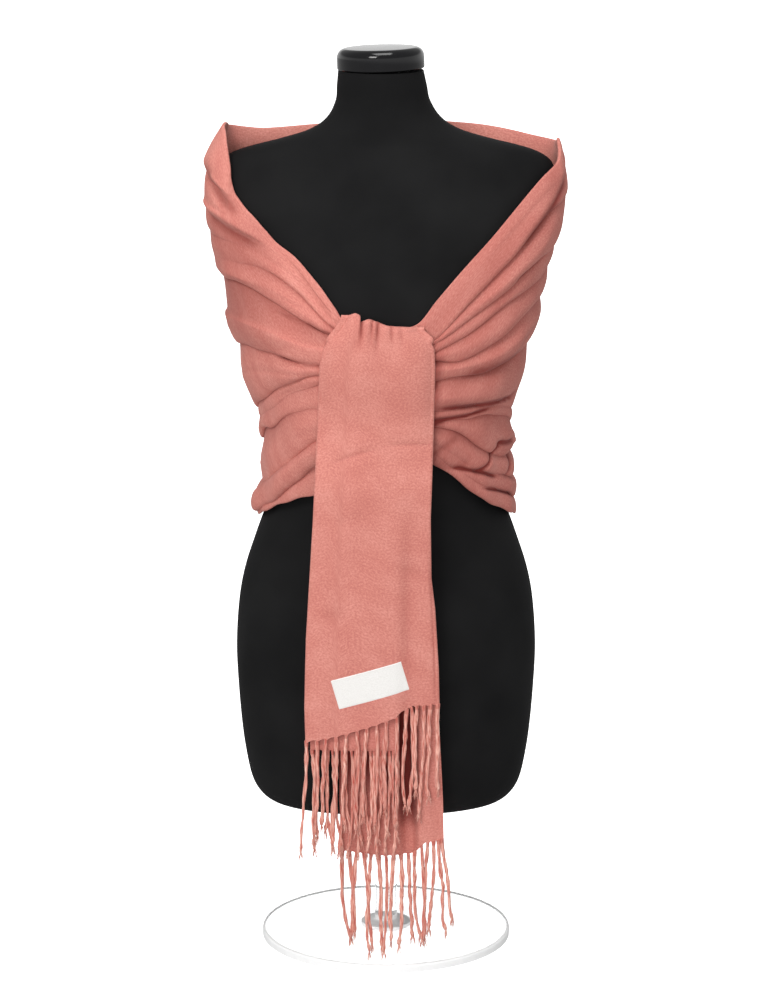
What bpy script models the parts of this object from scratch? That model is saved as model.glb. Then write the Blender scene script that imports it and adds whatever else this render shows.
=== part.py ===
"""Pashmina shawl tied round a limbless dress form on a short stand.

The shawl is one long strip of fine cloth.  It lies round the upper arms and the
back, its two ends cross in front and fall as tails, and each end has a fringe.

Frame: metres, +Z up, the front faces -Y.  The origin is on the floor, under the
middle of the stand.  "Right" and "left" are the wearer's, so right is at -X.

The bearing is the angle in degrees round the form: 0 is the middle of the front,
90 the right arm, 180 the middle of the back and 270 the left arm.
"""
import math

import bmesh
import bpy
import numpy as np

MM = 0.001
GAP = 0.3 * MM                  # between a piece and the piece that it lies on

# ---------------------------------------------------------------- driving sizes
CLOTH_WALL = 2.4 * MM           # wall of the wrapped cloth, measured outwards
TAIL_WALL = 2.0 * MM            # wall of the hanging cloth
FORM_BOTTOM = 162 * MM          # underside of the form above the floor
NECK_TOP = 962 * MM
NECK_LEAN = -5.5 * MM           # sideways lean of the neck at its top

CAP_RADIUS = 46.5 * MM
CAP_HEIGHT = 22.4 * MM
CAP_CROWN = 0.6 * MM            # the middle of the cap's top stands above its rim by this
CAP_EDGE = 8.0 * MM             # radius of its rounded upper edge
CAP_FOOT_EDGE = 2.0 * MM
CAP_TILT = math.radians(1.6)
CAP_SIDES = 36

BASE_RADIUS = 138 * MM
BASE_HEIGHT = 9 * MM
BASE_EDGE = 2.5 * MM
BASE_SIDES = 48
POST_RADIUS = 12.5 * MM
POST_SIDES = 24
FLANGE_RADIUS = 27.5 * MM       # at either end of the post
FLANGE_HEIGHT = 4 * MM
FLANGE_SLOPE = 3 * MM           # from the flange down to the post
TURN_WELD = 0.05 * MM

# ------------------------------------------------------------------ small tools


def remove_start_objects():
    for item in list(bpy.data.objects):
        bpy.data.objects.remove(item, do_unlink=True)


def finish(name, colour, roughness, coat=0.0, clear=0.0):
    """A plain Principled material; clear is the share of light that passes through."""
    material = bpy.data.materials.new(name)
    material.use_nodes = True
    shader = material.node_tree.nodes["Principled BSDF"]
    shader.inputs["Base Color"].default_value = (*colour, 1.0)
    shader.inputs["Roughness"].default_value = roughness
    shader.inputs["Metallic"].default_value = 0.0
    shader.inputs["Coat Weight"].default_value = coat
    shader.inputs["Transmission Weight"].default_value = clear
    return material


def add_object(name, mesh, material, sharp_angle=math.radians(50)):
    """Put a finished mesh into the object's own collection."""
    mesh.materials.append(material)
    mesh.shade_smooth()
    mesh.set_sharp_from_angle(angle=sharp_angle)
    item = bpy.data.objects.new(name, mesh)
    shawl_collection.objects.link(item)
    return item


def mesh_from(name, points, faces, edges=()):
    mesh = bpy.data.meshes.new(name)
    mesh.from_pydata([tuple(point) for point in points], edges, faces)
    mesh.update()
    return mesh


def through(stations, values, at):
    """Smooth curve through (station, value) pairs, read at the given places."""
    stations = np.asarray(stations, float)
    values = np.asarray(values, float)
    slopes = np.empty_like(values)
    slopes[1:-1] = (values[2:] - values[:-2]) / (stations[2:] - stations[:-2])
    slopes[0] = (values[1] - values[0]) / (stations[1] - stations[0])
    slopes[-1] = (values[-1] - values[-2]) / (stations[-1] - stations[-2])
    at = np.asarray(at, float)
    left = np.clip(np.searchsorted(stations, at) - 1, 0, len(stations) - 2)
    span = stations[left + 1] - stations[left]
    t = (at - stations[left]) / span
    rise = (2 * t**3 - 3 * t**2 + 1) * values[left] + (3 * t**2 - 2 * t**3) * values[left + 1]
    bend = (t**3 - 2 * t**2 + t) * slopes[left] + (t**3 - t**2) * slopes[left + 1]
    return rise + bend * span


def sheet_wall(name, outer, inner, material):
    """Closed wall between two grids of points, its four edges joined.

    Both grids are (rows, columns, 3).  Seen from outside, rows run down and
    columns run to the left.
    """
    rows, columns = outer.shape[:2]
    points = np.concatenate([outer.reshape(-1, 3), inner.reshape(-1, 3)])
    back = rows * columns

    def at(row, column):
        return row * columns + column

    faces = []
    for row in range(rows - 1):
        for column in range(columns - 1):
            ring = [at(row, column), at(row, column + 1), at(row + 1, column + 1), at(row + 1, column)]
            faces.append(ring[::-1])
            faces.append([back + corner for corner in ring])
    rim = [at(0, column) for column in range(columns)]
    rim += [at(row, columns - 1) for row in range(1, rows)]
    rim += [at(rows - 1, column) for column in range(columns - 2, -1, -1)]
    rim += [at(row, 0) for row in range(rows - 2, 0, -1)]
    for first, second in zip(rim, rim[1:] + rim[:1]):
        faces.append([first, second, back + second, back + first])
    mesh = mesh_from(name, points, faces)
    turn_outward(mesh)
    return add_object(name, mesh, material)


def turn_outward(mesh):
    """Make the faces of a closed mesh agree and point outwards."""
    shape = bmesh.new()
    shape.from_mesh(mesh)
    bmesh.ops.recalc_face_normals(shape, faces=shape.faces)
    shape.to_mesh(mesh)
    shape.free()


# -------------------------------------------------------------------- the form

# Sections of the form, in mm.
#    height  half width  front  back   round (1 is an ellipse, less is boxier)
FORM_SECTIONS = (
    (162, 122, 84, 96, 0.86),
    (165, 132, 95, 106, 0.86),
    (171, 140, 101, 112, 0.88),
    (182, 147, 106, 117, 0.90),
    (200, 152, 110, 121, 0.92),
    (234, 157.5, 112, 124, 0.93),
    (285, 162, 113, 126, 0.94),
    (336, 164, 112, 124, 0.94),
    (387, 160.5, 108, 118, 0.94),
    (421, 154, 103, 111, 0.94),
    (455, 143, 98.5, 104, 0.94),
    (480, 134, 96, 99, 0.94),
    (505, 124, 96, 94, 0.94),
    (540, 118.5, 100, 92, 0.94),
    (575, 119.5, 107, 93, 0.94),
    (620, 126, 120, 98, 0.94),
    (665, 138, 129.3, 104, 0.94),
    (705, 150, 126.2, 107.5, 0.93),
    (755, 165, 109.5, 110, 0.93),
    (805, 177.5, 90, 108.5, 0.93),
    (835, 182.6, 75.5, 102.5, 0.92),
    (854, 181.5, 66, 94, 0.91),
    (866, 175.5, 60, 86, 0.91),
    (873, 166, 56.5, 80, 0.91),
    (879, 150, 54, 75, 0.92),
    (888, 114, 51, 67, 0.94),
    (898, 82, 50, 60, 0.97),
    (911, 62, 49.5, 54, 1.0),
    (930, 50.5, 48.5, 50, 1.0),
    (946, 48, 47, 47.5, 1.0),
    (962, 45.5, 45.5, 45.5, 1.0),
)
FORM_SIDES = 32
LEAN_START = 880 * MM           # below this height the form is upright


def build_form(material):
    """Loft through the sections, closed by a flat underside and a flat neck top."""
    points = []
    turns = np.arange(FORM_SIDES) * 2 * math.pi / FORM_SIDES
    sine, cosine = np.sin(turns), np.cos(turns)
    for height, half_width, front, back, power in FORM_SECTIONS:
        z = height * MM
        lean = NECK_LEAN * max(0.0, (z - LEAN_START) / (NECK_TOP - LEAN_START))
        depth = np.where(cosine > 0, front, back) * MM
        x = lean + half_width * MM * np.sign(sine) * np.abs(sine) ** power
        y = -depth * np.sign(cosine) * np.abs(cosine) ** power
        points.extend(zip(x, y, np.full_like(x, z)))
    faces = []
    for ring in range(len(FORM_SECTIONS) - 1):
        for side in range(FORM_SIDES):
            after = (side + 1) % FORM_SIDES
            low, high = ring * FORM_SIDES, (ring + 1) * FORM_SIDES
            faces.append([low + side, low + after, high + after, high + side])
    faces.append([side for side in range(FORM_SIDES)][::-1])
    faces.append([(len(FORM_SECTIONS) - 1) * FORM_SIDES + side for side in range(FORM_SIDES)])
    mesh = mesh_from("dress_form", points, faces)
    turn_outward(mesh)
    return add_object("dress_form", mesh, material)


def turned(name, profile, material, segments):
    """A turned piece: (radius, height) pairs from the top's middle to the bottom's."""
    points = [(radius, 0.0, height) for radius, height in profile]
    edges = [(step, step + 1) for step in range(len(profile) - 1)]
    item = add_object(name, mesh_from(name, points, [], edges), material)
    screw = item.modifiers.new("Turn", "SCREW")
    screw.steps = segments
    screw.render_steps = segments
    screw.use_merge_vertices = True
    screw.merge_threshold = TURN_WELD
    return item


def build_cap(material):
    """Glossy disc on the neck, with rounded edges and a slightly crowned top."""
    half_way = 0.5 * (CAP_RADIUS - CAP_EDGE)
    profile = [(0.0, CAP_HEIGHT + CAP_CROWN), (half_way, CAP_HEIGHT + 0.75 * CAP_CROWN)]
    for degrees in (90, 60, 30, 0):
        turn = math.radians(degrees)
        profile.append((CAP_RADIUS - CAP_EDGE * (1 - math.cos(turn)), CAP_HEIGHT - CAP_EDGE * (1 - math.sin(turn))))
    for degrees in (0, -45, -90):
        turn = math.radians(degrees)
        profile.append((CAP_RADIUS - CAP_FOOT_EDGE * (1 - math.cos(turn)), CAP_FOOT_EDGE * (1 + math.sin(turn))))
    profile.append((0.0, 0.0))
    cap = turned("neck_cap", profile, material, CAP_SIDES)
    cap.location = (NECK_LEAN, 0.0, NECK_TOP + GAP + CAP_RADIUS * math.sin(CAP_TILT))
    cap.rotation_euler = (0.0, -CAP_TILT, 0.0)
    return cap


def build_stand(material):
    """Thin round base plate and a plain post up to the form's underside."""
    plate = [(0.0, BASE_HEIGHT), (BASE_RADIUS - BASE_EDGE, BASE_HEIGHT),
             (BASE_RADIUS - 0.3 * BASE_EDGE, BASE_HEIGHT - 0.3 * BASE_EDGE),
             (BASE_RADIUS, BASE_HEIGHT - BASE_EDGE), (BASE_RADIUS, 0.0), (0.0, 0.0)]
    turned("stand_base", plate, material, BASE_SIDES)
    bottom = BASE_HEIGHT + GAP
    top = FORM_BOTTOM - GAP
    slope_end = FLANGE_HEIGHT + FLANGE_SLOPE
    post = [(0.0, top), (FLANGE_RADIUS, top), (FLANGE_RADIUS, top - FLANGE_HEIGHT), (POST_RADIUS, top - slope_end),
            (POST_RADIUS, bottom + slope_end), (FLANGE_RADIUS, bottom + FLANGE_HEIGHT), (FLANGE_RADIUS, bottom),
            (0.0, bottom)]
    turned("stand_post", post, material, POST_SIDES)


# ------------------------------------------------------------ the wrapped cloth

# How far the pushed-in lines of the cloth stand from the form's axis, in mm.
#    height  right  left  front  back
WRAP_GIRTH = (
    (440, 148, 148, 106, 114),
    (482, 137, 138, 103, 106),
    (520, 128, 133, 107, 101),
    (560, 131, 130, 114, 101),
    (610, 135, 131, 124, 105),
    (658, 150, 145, 131, 109),
    (700, 162, 157, 129, 112),
    (745, 172, 168, 117, 114),
    (800, 186, 183, 96, 112),
    (850, 188, 186, 72, 104),
    (906, 166, 178, 56, 90),
)
WRAP_ROUND = 0.93

# The top edge of the cloth: the V in front, a folded flap on the right shoulder,
# and the back's edge behind the neck.
#    bearing  height in mm
TOP_EDGE = (
    (4, 706), (14, 713), (17, 727), (22, 748), (30, 774), (38, 790), (45, 810),
    (52, 824), (57, 838), (61, 862), (68, 881), (78, 898), (90, 905), (105, 897),
    (120, 890), (150, 893), (180, 896), (210, 893), (240, 882), (262, 884),
    (270, 889), (276, 879), (285, 866), (300, 851), (315, 821), (330, 776),
    (343, 732), (349, 710), (356, 704),
)

# The long folds.  Each row is the pushed-in line under one fold.  The columns are
# its height in mm at each bearing, from the tie to the right arm, round the back
# and on from the left arm to the tie.
FOLD_BEARINGS = (4, 17, 30, 45, 60, 75, 90,
                 120, 150, 180, 210, 240,
                 270, 285, 300, 315, 330, 343, 356)
#            tie ........... right arm        back                      left arm .......... tie
FOLD_LINES = {
    "flap":   ((703, 720, 766, 803, 826, 843, 857), (852, 848, 845, 846, 850),
               (858, 845, 830, 799, 756, 712, 696)),
    "first":  ((700, 716, 760, 796, 805, 812, 819), (808, 798, 792, 797, 810),
               (825, 817, 801, 768, 730, 692, 680)),
    "second": ((697, 711, 750, 785, 791, 795, 796), (782, 768, 757, 757, 762),
               (772, 764, 754, 733, 709, 688, 676)),
    "third":  ((693, 704, 741, 768, 773, 770, 766), (752, 738, 728, 730, 738),
               (750, 738, 729, 718, 696, 680, 668)),
    "fourth": ((682, 690, 706, 726, 738, 739, 742), (722, 704, 694, 696, 704),
               (716, 708, 699, 685, 670, 671, 664)),
    "fifth":  ((664, 663, 660, 668, 670, 668, 668), (664, 660, 654, 655, 662),
               (670, 658, 655, 651, 651, 651, 648)),
    "sixth":  ((655, 655, 651, 639, 626, 616, 605), (612, 618, 616, 610, 604),
               (600, 606, 614, 617, 620, 621, 620)),
    "seventh": ((640, 637, 628, 614, 602, 594, 588), (590, 596, 594, 590, 586),
                (584, 594, 603, 607, 605, 604, 604)),
    "eighth": ((618, 614, 608, 600, 590, 581, 565), (562, 560, 562, 562, 560),
               (557, 558, 562, 577, 596, 600, 600)),
    "ninth":  ((600, 593, 585, 567, 547, 531, 521), (528, 534, 536, 534, 530),
               (527, 530, 537, 546, 566, 584, 588)),
    "tenth":  ((572, 565, 553, 530, 511, 497, 488), (496, 502, 506, 507, 505),
               (503, 511, 520, 531, 552, 573, 578)),
    "bottom edge": ((540, 533, 524, 514, 502, 489, 481), (478, 476, 475, 476, 479),
                    (482, 488, 500, 516, 543, 562, 569)),
}

# How far each fold stands out above its pushed-in lines, in mm, and how deep the
# line under it is cut: 1 is a full crease and 0 is none.
FOLD_SWELL_BEARINGS = (4, 30, 60, 90, 180, 270, 300, 330, 356)
#   name        swell ........................................  crease .........................
FOLD_SWELL = {
    "flap":    ((4, 4, 6, 9, 6, 7, 5, 4, 4), (0.2, 0.3, 0.6, 0.5, 0.3, 0.1, 0.1, 0.1, 0.1)),
    "first":   ((3, 3, 4, 6, 7, 8, 6, 5, 4), (0.6, 0.5, 0.5, 0.5, 0.7, 0.5, 1.0, 1.0, 1.0)),
    "second":  ((3, 3, 4, 5, 7, 5, 5, 4, 4), (0.4, 0.4, 0.4, 0.7, 0.6, 1.0, 0.9, 0.8, 0.8)),
    "third":   ((3, 4, 4, 7, 6, 5, 5, 4, 4), (0.8, 0.9, 0.3, 0.3, 0.6, 0.6, 0.8, 0.8, 0.8)),
    "fourth":  ((4, 5, 6, 9, 8, 7, 5, 4, 4), (1.0, 1.0, 1.0, 1.0, 0.8, 0.8, 0.7, 0.7, 0.8)),
    "fifth":   ((5, 6, 9, 12, 9, 7, 8, 6, 5), (1.0, 1.0, 1.0, 1.0, 0.9, 1.0, 1.0, 1.0, 1.0)),
    "sixth":   ((5, 6, 10, 14, 10, 9, 7, 6, 5), (0.9, 0.9, 1.0, 1.0, 0.9, 1.0, 0.9, 0.9, 0.9)),
    "seventh": ((3, 4, 4, 4, 6, 5, 4, 4, 4), (0.4, 0.4, 0.4, 0.6, 0.5, 0.5, 0.5, 1.0, 1.0)),
    "eighth":  ((4, 4, 5, 6, 7, 8, 6, 5, 4), (0.1, 0.1, 0.9, 1.0, 0.8, 1.0, 1.0, 1.0, 1.0)),
    "ninth":   ((5, 6, 7, 7, 8, 8, 7, 6, 5), (1.0, 1.0, 1.0, 1.0, 0.9, 0.9, 0.7, 0.2, 0.2)),
    "tenth":   ((5, 7, 11, 13, 9, 7, 6, 5, 5), (1.0, 1.0, 1.0, 1.0, 0.9, 1.0, 0.9, 0.2, 0.2)),
    "bottom edge": ((3, 4, 4, 3, 6, 4, 5, 6, 5), (0.6, 0.6, 0.7, 0.8, 0.6, 0.7, 0.6, 0.6, 0.6)),
}
TOP_EDGE_CREASE = 0.35          # the free top edge stands off the form by most of its fold
FOLD_CREST = 0.74               # where a fold stands out furthest, from its top to its bottom
STEEPEST_SWELL = 0.42           # a fold stands out by no more than this share of its height
ROWS_IN_A_FOLD = (0.0, 0.42, 0.82)
SMALLEST_FOLD = 2.5 * MM

RIGHT_SEAM = 97.0               # bearings of the ends of the three stretches
LEFT_SEAM = 263.0
RIGHT_END = 6.0
LEFT_END = 354.0
SEAM_RADIUS = 150 * MM          # the cloth's distance from the axis at the seams
ARM_COLUMNS = 16
BACK_COLUMNS = 23


def girth(bearing, height):
    """Point and outward direction on the plain surface under the folds."""
    table = np.array(WRAP_GIRTH)
    right, left, front, back = [through(table[:, 0] * MM, table[:, k] * MM, height) for k in range(1, 5)]
    turn = np.radians(bearing)
    sine, cosine = np.sin(turn), np.cos(turn)
    wide = np.where(sine > 0, right, left)
    deep = np.where(cosine > 0, front, back)
    x = -wide * np.sign(sine) * np.abs(sine) ** WRAP_ROUND
    y = -deep * np.sign(cosine) * np.abs(cosine) ** WRAP_ROUND
    outward = np.stack([-sine / wide, -cosine / deep, 0 * wide], -1)
    outward /= np.linalg.norm(outward, axis=-1, keepdims=True)
    return np.stack([x, y, height + 0 * x], -1), outward


def fold_lines(bearing):
    """Heights of the top edge and of every fold line at each bearing, top to bottom."""
    top = np.array(TOP_EDGE, float)
    lines = [through(top[:, 0], top[:, 1] * MM, bearing)]
    for parts in FOLD_LINES.values():
        heights = np.array([height for part in parts for height in part], float) * MM
        line = through(FOLD_BEARINGS, heights, bearing)
        lines.append(np.minimum(line, lines[-1] - SMALLEST_FOLD))
    return np.array(lines)


def fold_swells(bearing, lines):
    """Swell of every fold and crease of every line, the top edge's first."""
    swells, creases = [], [np.full_like(bearing, TOP_EDGE_CREASE)]
    for number, (swell, crease) in enumerate(FOLD_SWELL.values()):
        tallest = STEEPEST_SWELL * (lines[number] - lines[number + 1])
        wanted = np.interp(bearing, FOLD_SWELL_BEARINGS, swell) * MM
        swells.append(np.minimum(wanted, tallest))
        creases.append(np.interp(bearing, FOLD_SWELL_BEARINGS, crease))
    return np.array(swells), np.array(creases)


def fold_shape(t):
    """0 at a fold's upper line, 1 at its crest, and a short drop to the line below."""
    rising = np.sin(0.5 * math.pi * np.clip(t / FOLD_CREST, 0, 1)) ** 1.2
    falling = np.cos(0.5 * math.pi * np.clip((t - FOLD_CREST) / (1 - FOLD_CREST), 0, 1)) ** 0.8
    return np.where(t < FOLD_CREST, rising, falling)


def wrapped_grid(bearing, steps):
    """Outer points of the folded cloth, (rows, columns, 3), and outward directions."""
    lines = fold_lines(bearing)
    swells, creases = fold_swells(bearing, lines)
    floors = np.empty_like(lines)
    for number in range(len(lines)):
        above = swells[max(number - 1, 0)]
        below = swells[min(number, len(swells) - 1)]
        floors[number] = (1 - creases[number]) * np.minimum(above, below)
    points, directions = [], []
    for number in range(len(swells)):
        for t in steps:
            height = lines[number] + (lines[number + 1] - lines[number]) * t
            floor = floors[number] + (floors[number + 1] - floors[number]) * t
            out = floor + (swells[number] - floor) * fold_shape(t)
            place, outward = girth(bearing, height)
            points.append(place + outward * out[:, None])
            directions.append(outward)
    place, outward = girth(bearing, lines[-1])
    points.append(place + outward * floors[-1][:, None])
    directions.append(outward)
    return np.array(points), np.array(directions)


def build_stretch(name, start, end, columns, material):
    """One stretch of the wrapped cloth between two bearings."""
    bearing = np.linspace(start, end, columns)
    outer, outward = wrapped_grid(bearing, ROWS_IN_A_FOLD)
    inner = outer - outward * CLOTH_WALL
    return sheet_wall(name, outer, inner, material)


def build_wrap(material):
    """The three stretches, which part at the seams by the gap."""
    seam = math.degrees(GAP / SEAM_RADIUS)
    build_stretch("wrap_right", RIGHT_END, RIGHT_SEAM, ARM_COLUMNS, material)
    build_stretch("wrap_back", RIGHT_SEAM + seam, LEFT_SEAM - seam, BACK_COLUMNS, material)
    build_stretch("wrap_left", LEFT_SEAM, LEFT_END, ARM_COLUMNS, material)


# --------------------------------------------------------------- the two tails

# Side edges of the front tail, in mm.
#    height  right edge  left edge
FRONT_TAIL_EDGES = (
    (255, -85, 57), (300, -86, 56), (342, -85, 55), (375, -84, 53), (407, -82, 51),
    (440, -80, 47), (505, -76, 46), (590, -72, 49), (633, -70, 50), (665, -69, 50.5),
    (684, -66, 49.5), (699, -60, 45), (707, -53, 36), (718, -46, 31),
)
# Hem of the front layer and top of the tie, in mm from right to left.
FRONT_HEM = ((-86, 263), (-70, 265), (-49, 270), (-17, 280), (9, 289), (20, 298), (30, 303), (58, 304))
TIE_TOP = ((-46, 718), (-35, 722), (-29, 720), (-25, 713), (-18, 716), (-8, 713), (2, 709), (31, 707))
TIE_ROLL_EDGE = 2.2 * MM        # radius of the cloth that turns over the tie, at its ends
TIE_ROLL = 5.0 * MM             # and in its middle
TIE_TURN_DOWN = 692 * MM        # the turned-over cloth ends here, behind the tail
TIE_LEVEL = 718 * MM            # the tail's width is read here for its upper end
HEM_LEVEL = 270 * MM            # and here for its lower end
TIE_TURNS = (40, 90, 140, 180)  # degrees turned over the tie, row by row
TAIL_CLIMB = np.concatenate([np.linspace(0, 0.72, 9), np.linspace(0.8, 1, 4)])
TAIL_COLUMNS = 11

STAND_OFF = 16.6 * MM           # from the girth under the wrap to the tail's face
STAND_OFF_EDGE = 9.6 * MM       # the same at the tail's side edges
HANG_DEPTH = 147.0 * MM         # the free part of the tail hangs this far in front
HANG_EDGE_DROP = 4.0 * MM       # its side edges stand back by this much
HANG_START = 640 * MM           # the tail lies on the wrap above this height
HANG_END = 530 * MM             # and hangs free below this one
PLUMB_BELOW = 300 * MM
FACE_WAVE = 0.9 * MM            # slight waves in the hanging part
FACE_WAVE_ACROSS = 21 * MM
FACE_WAVE_DOWN = 170 * MM
TROUGH_DEPTH = 1.6 * MM         # and a soft trough towards its left edge
TROUGH_PLACE = 19 * MM
TROUGH_WIDTH = 9 * MM
TROUGH_START = 520 * MM
TROUGH_FULL = 430 * MM
CURL_START = 590 * MM           # the side edges are folded back below this height
CURL_FULL = 530 * MM
CURL_RADIUS = 2.8 * MM
CURL_STRIP = 7.5 * MM
CURL_COLUMNS = (1.0, 2 / 3, 1 / 3)
FLATTEST_BEND = 1e-6 / MM       # stands in for a curl of 0

INNER_DEPTH = 5.6 * MM          # from the front layer's face to the inner layer's
INNER_HEM = ((-85, 252), (14, 252))
INNER_END = 14 * MM             # left edge of the inner layer
INNER_TOP = 560 * MM

BACK_TAIL_DEPTH = 8.3 * MM      # from the front layer's face to the longer tail's
BACK_TAIL_TOP = TIE_TURN_DOWN - GAP
#    height  right edge  left edge
BACK_TAIL_EDGES = (
    (130, -49, 61), (152, -49, 62), (195, -50, 61), (284, -50, 56.5), (400, -46, 47),
    (560, -40, 38), (640, -36, 30), (692, -32, 26),
)
BACK_HEM = ((-49, 137), (-7, 132), (28, 132), (40, 147), (62, 152))
BACK_TAIL_COLUMNS = 10
INNER_COLUMNS = 9
HANGING_ROWS = 14
UNLIMITED = 1.0                 # in metres, wider than any tail


def ease(value, start, end):
    """0 at start, 1 at end, smooth between; start may be the larger one."""
    t = np.clip((value - start) / (end - start), 0, 1)
    return t * t * (3 - 2 * t)


def along(table, at):
    """The second column of a table in mm, read between its rows."""
    rows = np.array(table, float) * MM
    return np.interp(at, rows[:, 0], rows[:, 1])


def edges_at(table, z):
    """Right and left edge of a hanging piece at this height."""
    rows = np.array(table, float) * MM
    return np.interp(z, rows[:, 0], rows[:, 1]), np.interp(z, rows[:, 0], rows[:, 2])


def hem_shares(table, right, left, count):
    """Even shares of the width with the hem's own corners among them."""
    corners = [(x * MM - right) / (left - right) for x, _ in table]
    corners = [corner for corner in corners if 0.02 < corner < 0.98]
    even = [share for share in np.linspace(0, 1, count)
            if all(abs(share - corner) > 0.3 / count for corner in corners)]
    return np.array(sorted(corners + even))


def girth_depth(x, z):
    """Distance from the axis to the plain front of the wrap at this x and height."""
    table = np.array(WRAP_GIRTH)
    right, left, front = [through(table[:, 0] * MM, table[:, k] * MM, z) for k in range(1, 4)]
    wide = np.where(x < 0, right, left)
    sine = np.clip(np.abs(x) / wide, 0, 0.98) ** (1 / WRAP_ROUND)
    return front * np.sqrt(1 - sine**2) ** WRAP_ROUND


def tail_face(x, z):
    """How far the front tail's face stands in front of the axis.

    Above, it follows the wrap that it lies on; below, it hangs straight, with a soft
    trough towards its left edge and slight waves.  Its lowest part is plumb.
    """
    z = np.maximum(z, PLUMB_BELOW)
    right, left = edges_at(FRONT_TAIL_EDGES, z)
    across = np.clip((x - right) / (left - right), 0, 1)
    sideways = np.abs(2 * across - 1)
    lying = girth_depth(x, z) + STAND_OFF + (STAND_OFF_EDGE - STAND_OFF) * sideways**6
    wave = FACE_WAVE * np.sin(x / FACE_WAVE_ACROSS + z / FACE_WAVE_DOWN)
    trough = -TROUGH_DEPTH * np.exp(-((x - TROUGH_PLACE) / TROUGH_WIDTH) ** 2)
    trough = trough * ease(z, TROUGH_START, TROUGH_FULL)
    hanging = HANG_DEPTH - HANG_EDGE_DROP * sideways**2.5 + wave + trough
    return lying + (hanging - lying) * ease(z, HANG_START, HANG_END)


def front_tail_grid(wall):
    """The front layer at a given distance inside its face, (rows, columns, 3)."""
    right_hem, left_hem = edges_at(FRONT_TAIL_EDGES, HEM_LEVEL)
    right_top, left_top = edges_at(FRONT_TAIL_EDGES, TIE_LEVEL)
    shares = hem_shares(FRONT_HEM, right_hem, left_hem, TAIL_COLUMNS)
    columns = [(0.0, strip, -1) for strip in CURL_COLUMNS]
    columns += [(share, 0.0, 0) for share in shares]
    columns += [(1.0, strip, 1) for strip in CURL_COLUMNS[::-1]]
    grid = []
    for share, strip, side in columns:
        middle = 4 * share * (1 - share)
        roll = TIE_ROLL_EDGE + (TIE_ROLL - TIE_ROLL_EDGE) * min(1.0, 1.6 * middle)
        top = along(TIE_TOP, right_top + (left_top - right_top) * share) - roll
        hem = along(FRONT_HEM, right_hem + (left_hem - right_hem) * share)
        column = []
        for climb in TAIL_CLIMB:
            z = hem + (top - hem) * climb
            right, left = edges_at(FRONT_TAIL_EDGES, z)
            curl = ease(z, CURL_START, CURL_FULL)
            tangent = CURL_STRIP + (CURL_RADIUS - CURL_STRIP) * curl
            x = right + tangent + (left - right - 2 * tangent) * share
            depth = tail_face(x, z)
            bend = max(curl / CURL_RADIUS, FLATTEST_BEND)
            turn = bend * strip * CURL_STRIP
            x += side * (math.sin(turn) / bend - wall * math.sin(turn))
            depth -= (1 - math.cos(turn)) / bend + wall * math.cos(turn)
            column.append((x, -depth, z))
        right, left = edges_at(FRONT_TAIL_EDGES, top)
        x = right + CURL_STRIP * (1 - strip) + (left - right - 2 * CURL_STRIP) * share
        if side > 0:
            x = left - CURL_STRIP * (1 - strip)
        centre = tail_face(x, top) - roll
        for turn in np.radians(TIE_TURNS):
            reach = roll - wall
            column.append((x, -(centre + reach * math.cos(turn)), top + reach * math.sin(turn)))
        column.append((x, 2 * roll - wall - tail_face(x, TIE_TURN_DOWN), TIE_TURN_DOWN))
        grid.append(column)
    return np.array(grid).transpose(1, 0, 2)[::-1]


def hanging_layer(face_depth, table, hem, top, left_limit, columns, wall):
    """A layer behind the front tail, face_depth behind its face."""
    grid = []
    low_right, low_left = edges_at(table, 0.0)
    low_left = min(low_left, left_limit)
    for share in hem_shares(hem, low_right, low_left, columns):
        column = []
        bottom = along(hem, low_right + (low_left - low_right) * share)
        for climb in np.linspace(1, 0, HANGING_ROWS):
            z = bottom + (top - bottom) * climb
            right, left = edges_at(table, z)
            x = right + (min(left, left_limit) - right) * share
            depth = tail_face(x, z) - face_depth - wall
            column.append((x, -depth, z))
        grid.append(column)
    return np.array(grid).transpose(1, 0, 2)


def build_tails(material):
    """The front tail, and the two layers that hang behind it."""
    sheet_wall("front_tail", front_tail_grid(0.0), front_tail_grid(TAIL_WALL), material)
    inner_edges = [(z, right + 4, left) for z, right, left in FRONT_TAIL_EDGES]
    for name, depth, table, hem, top, limit, columns in (
            ("tail_inner_layer", INNER_DEPTH, inner_edges, INNER_HEM, INNER_TOP, INNER_END, INNER_COLUMNS),
            ("back_tail", BACK_TAIL_DEPTH, BACK_TAIL_EDGES, BACK_HEM, BACK_TAIL_TOP, UNLIMITED, BACK_TAIL_COLUMNS)):
        outer = hanging_layer(depth, table, hem, top, limit, columns, 0.0)
        inner = hanging_layer(depth, table, hem, top, limit, columns, TAIL_WALL)
        sheet_wall(name, outer, inner, material)


# ------------------------------------------------------------------- the label

LABEL_WIDTH = 78 * MM
LABEL_HEIGHT = 33 * MM
LABEL_MIDDLE = (-17 * MM, 325 * MM)
LABEL_TILT = math.radians(16)
LABEL_WALL = 0.9 * MM
LABEL_GAP = 0.5 * MM
LABEL_ROWS = 5
LABEL_COLUMNS = 9


def build_label(material):
    """A bare woven label, made from the front tail's face moved out."""
    grids = []
    for out in (LABEL_GAP + LABEL_WALL, LABEL_GAP):
        grid = []
        for down in np.linspace(0.5, -0.5, LABEL_ROWS):
            row = []
            for over in np.linspace(-0.5, 0.5, LABEL_COLUMNS):
                u, v = over * LABEL_WIDTH, down * LABEL_HEIGHT
                x = LABEL_MIDDLE[0] + u * math.cos(LABEL_TILT) - v * math.sin(LABEL_TILT)
                z = LABEL_MIDDLE[1] + u * math.sin(LABEL_TILT) + v * math.cos(LABEL_TILT)
                row.append((x, -tail_face(x, z) - out, z))
            grid.append(row)
        grids.append(np.array(grid))
    sheet_wall("label", grids[0], grids[1], material)


# ------------------------------------------------------------------ the fringes

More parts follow.
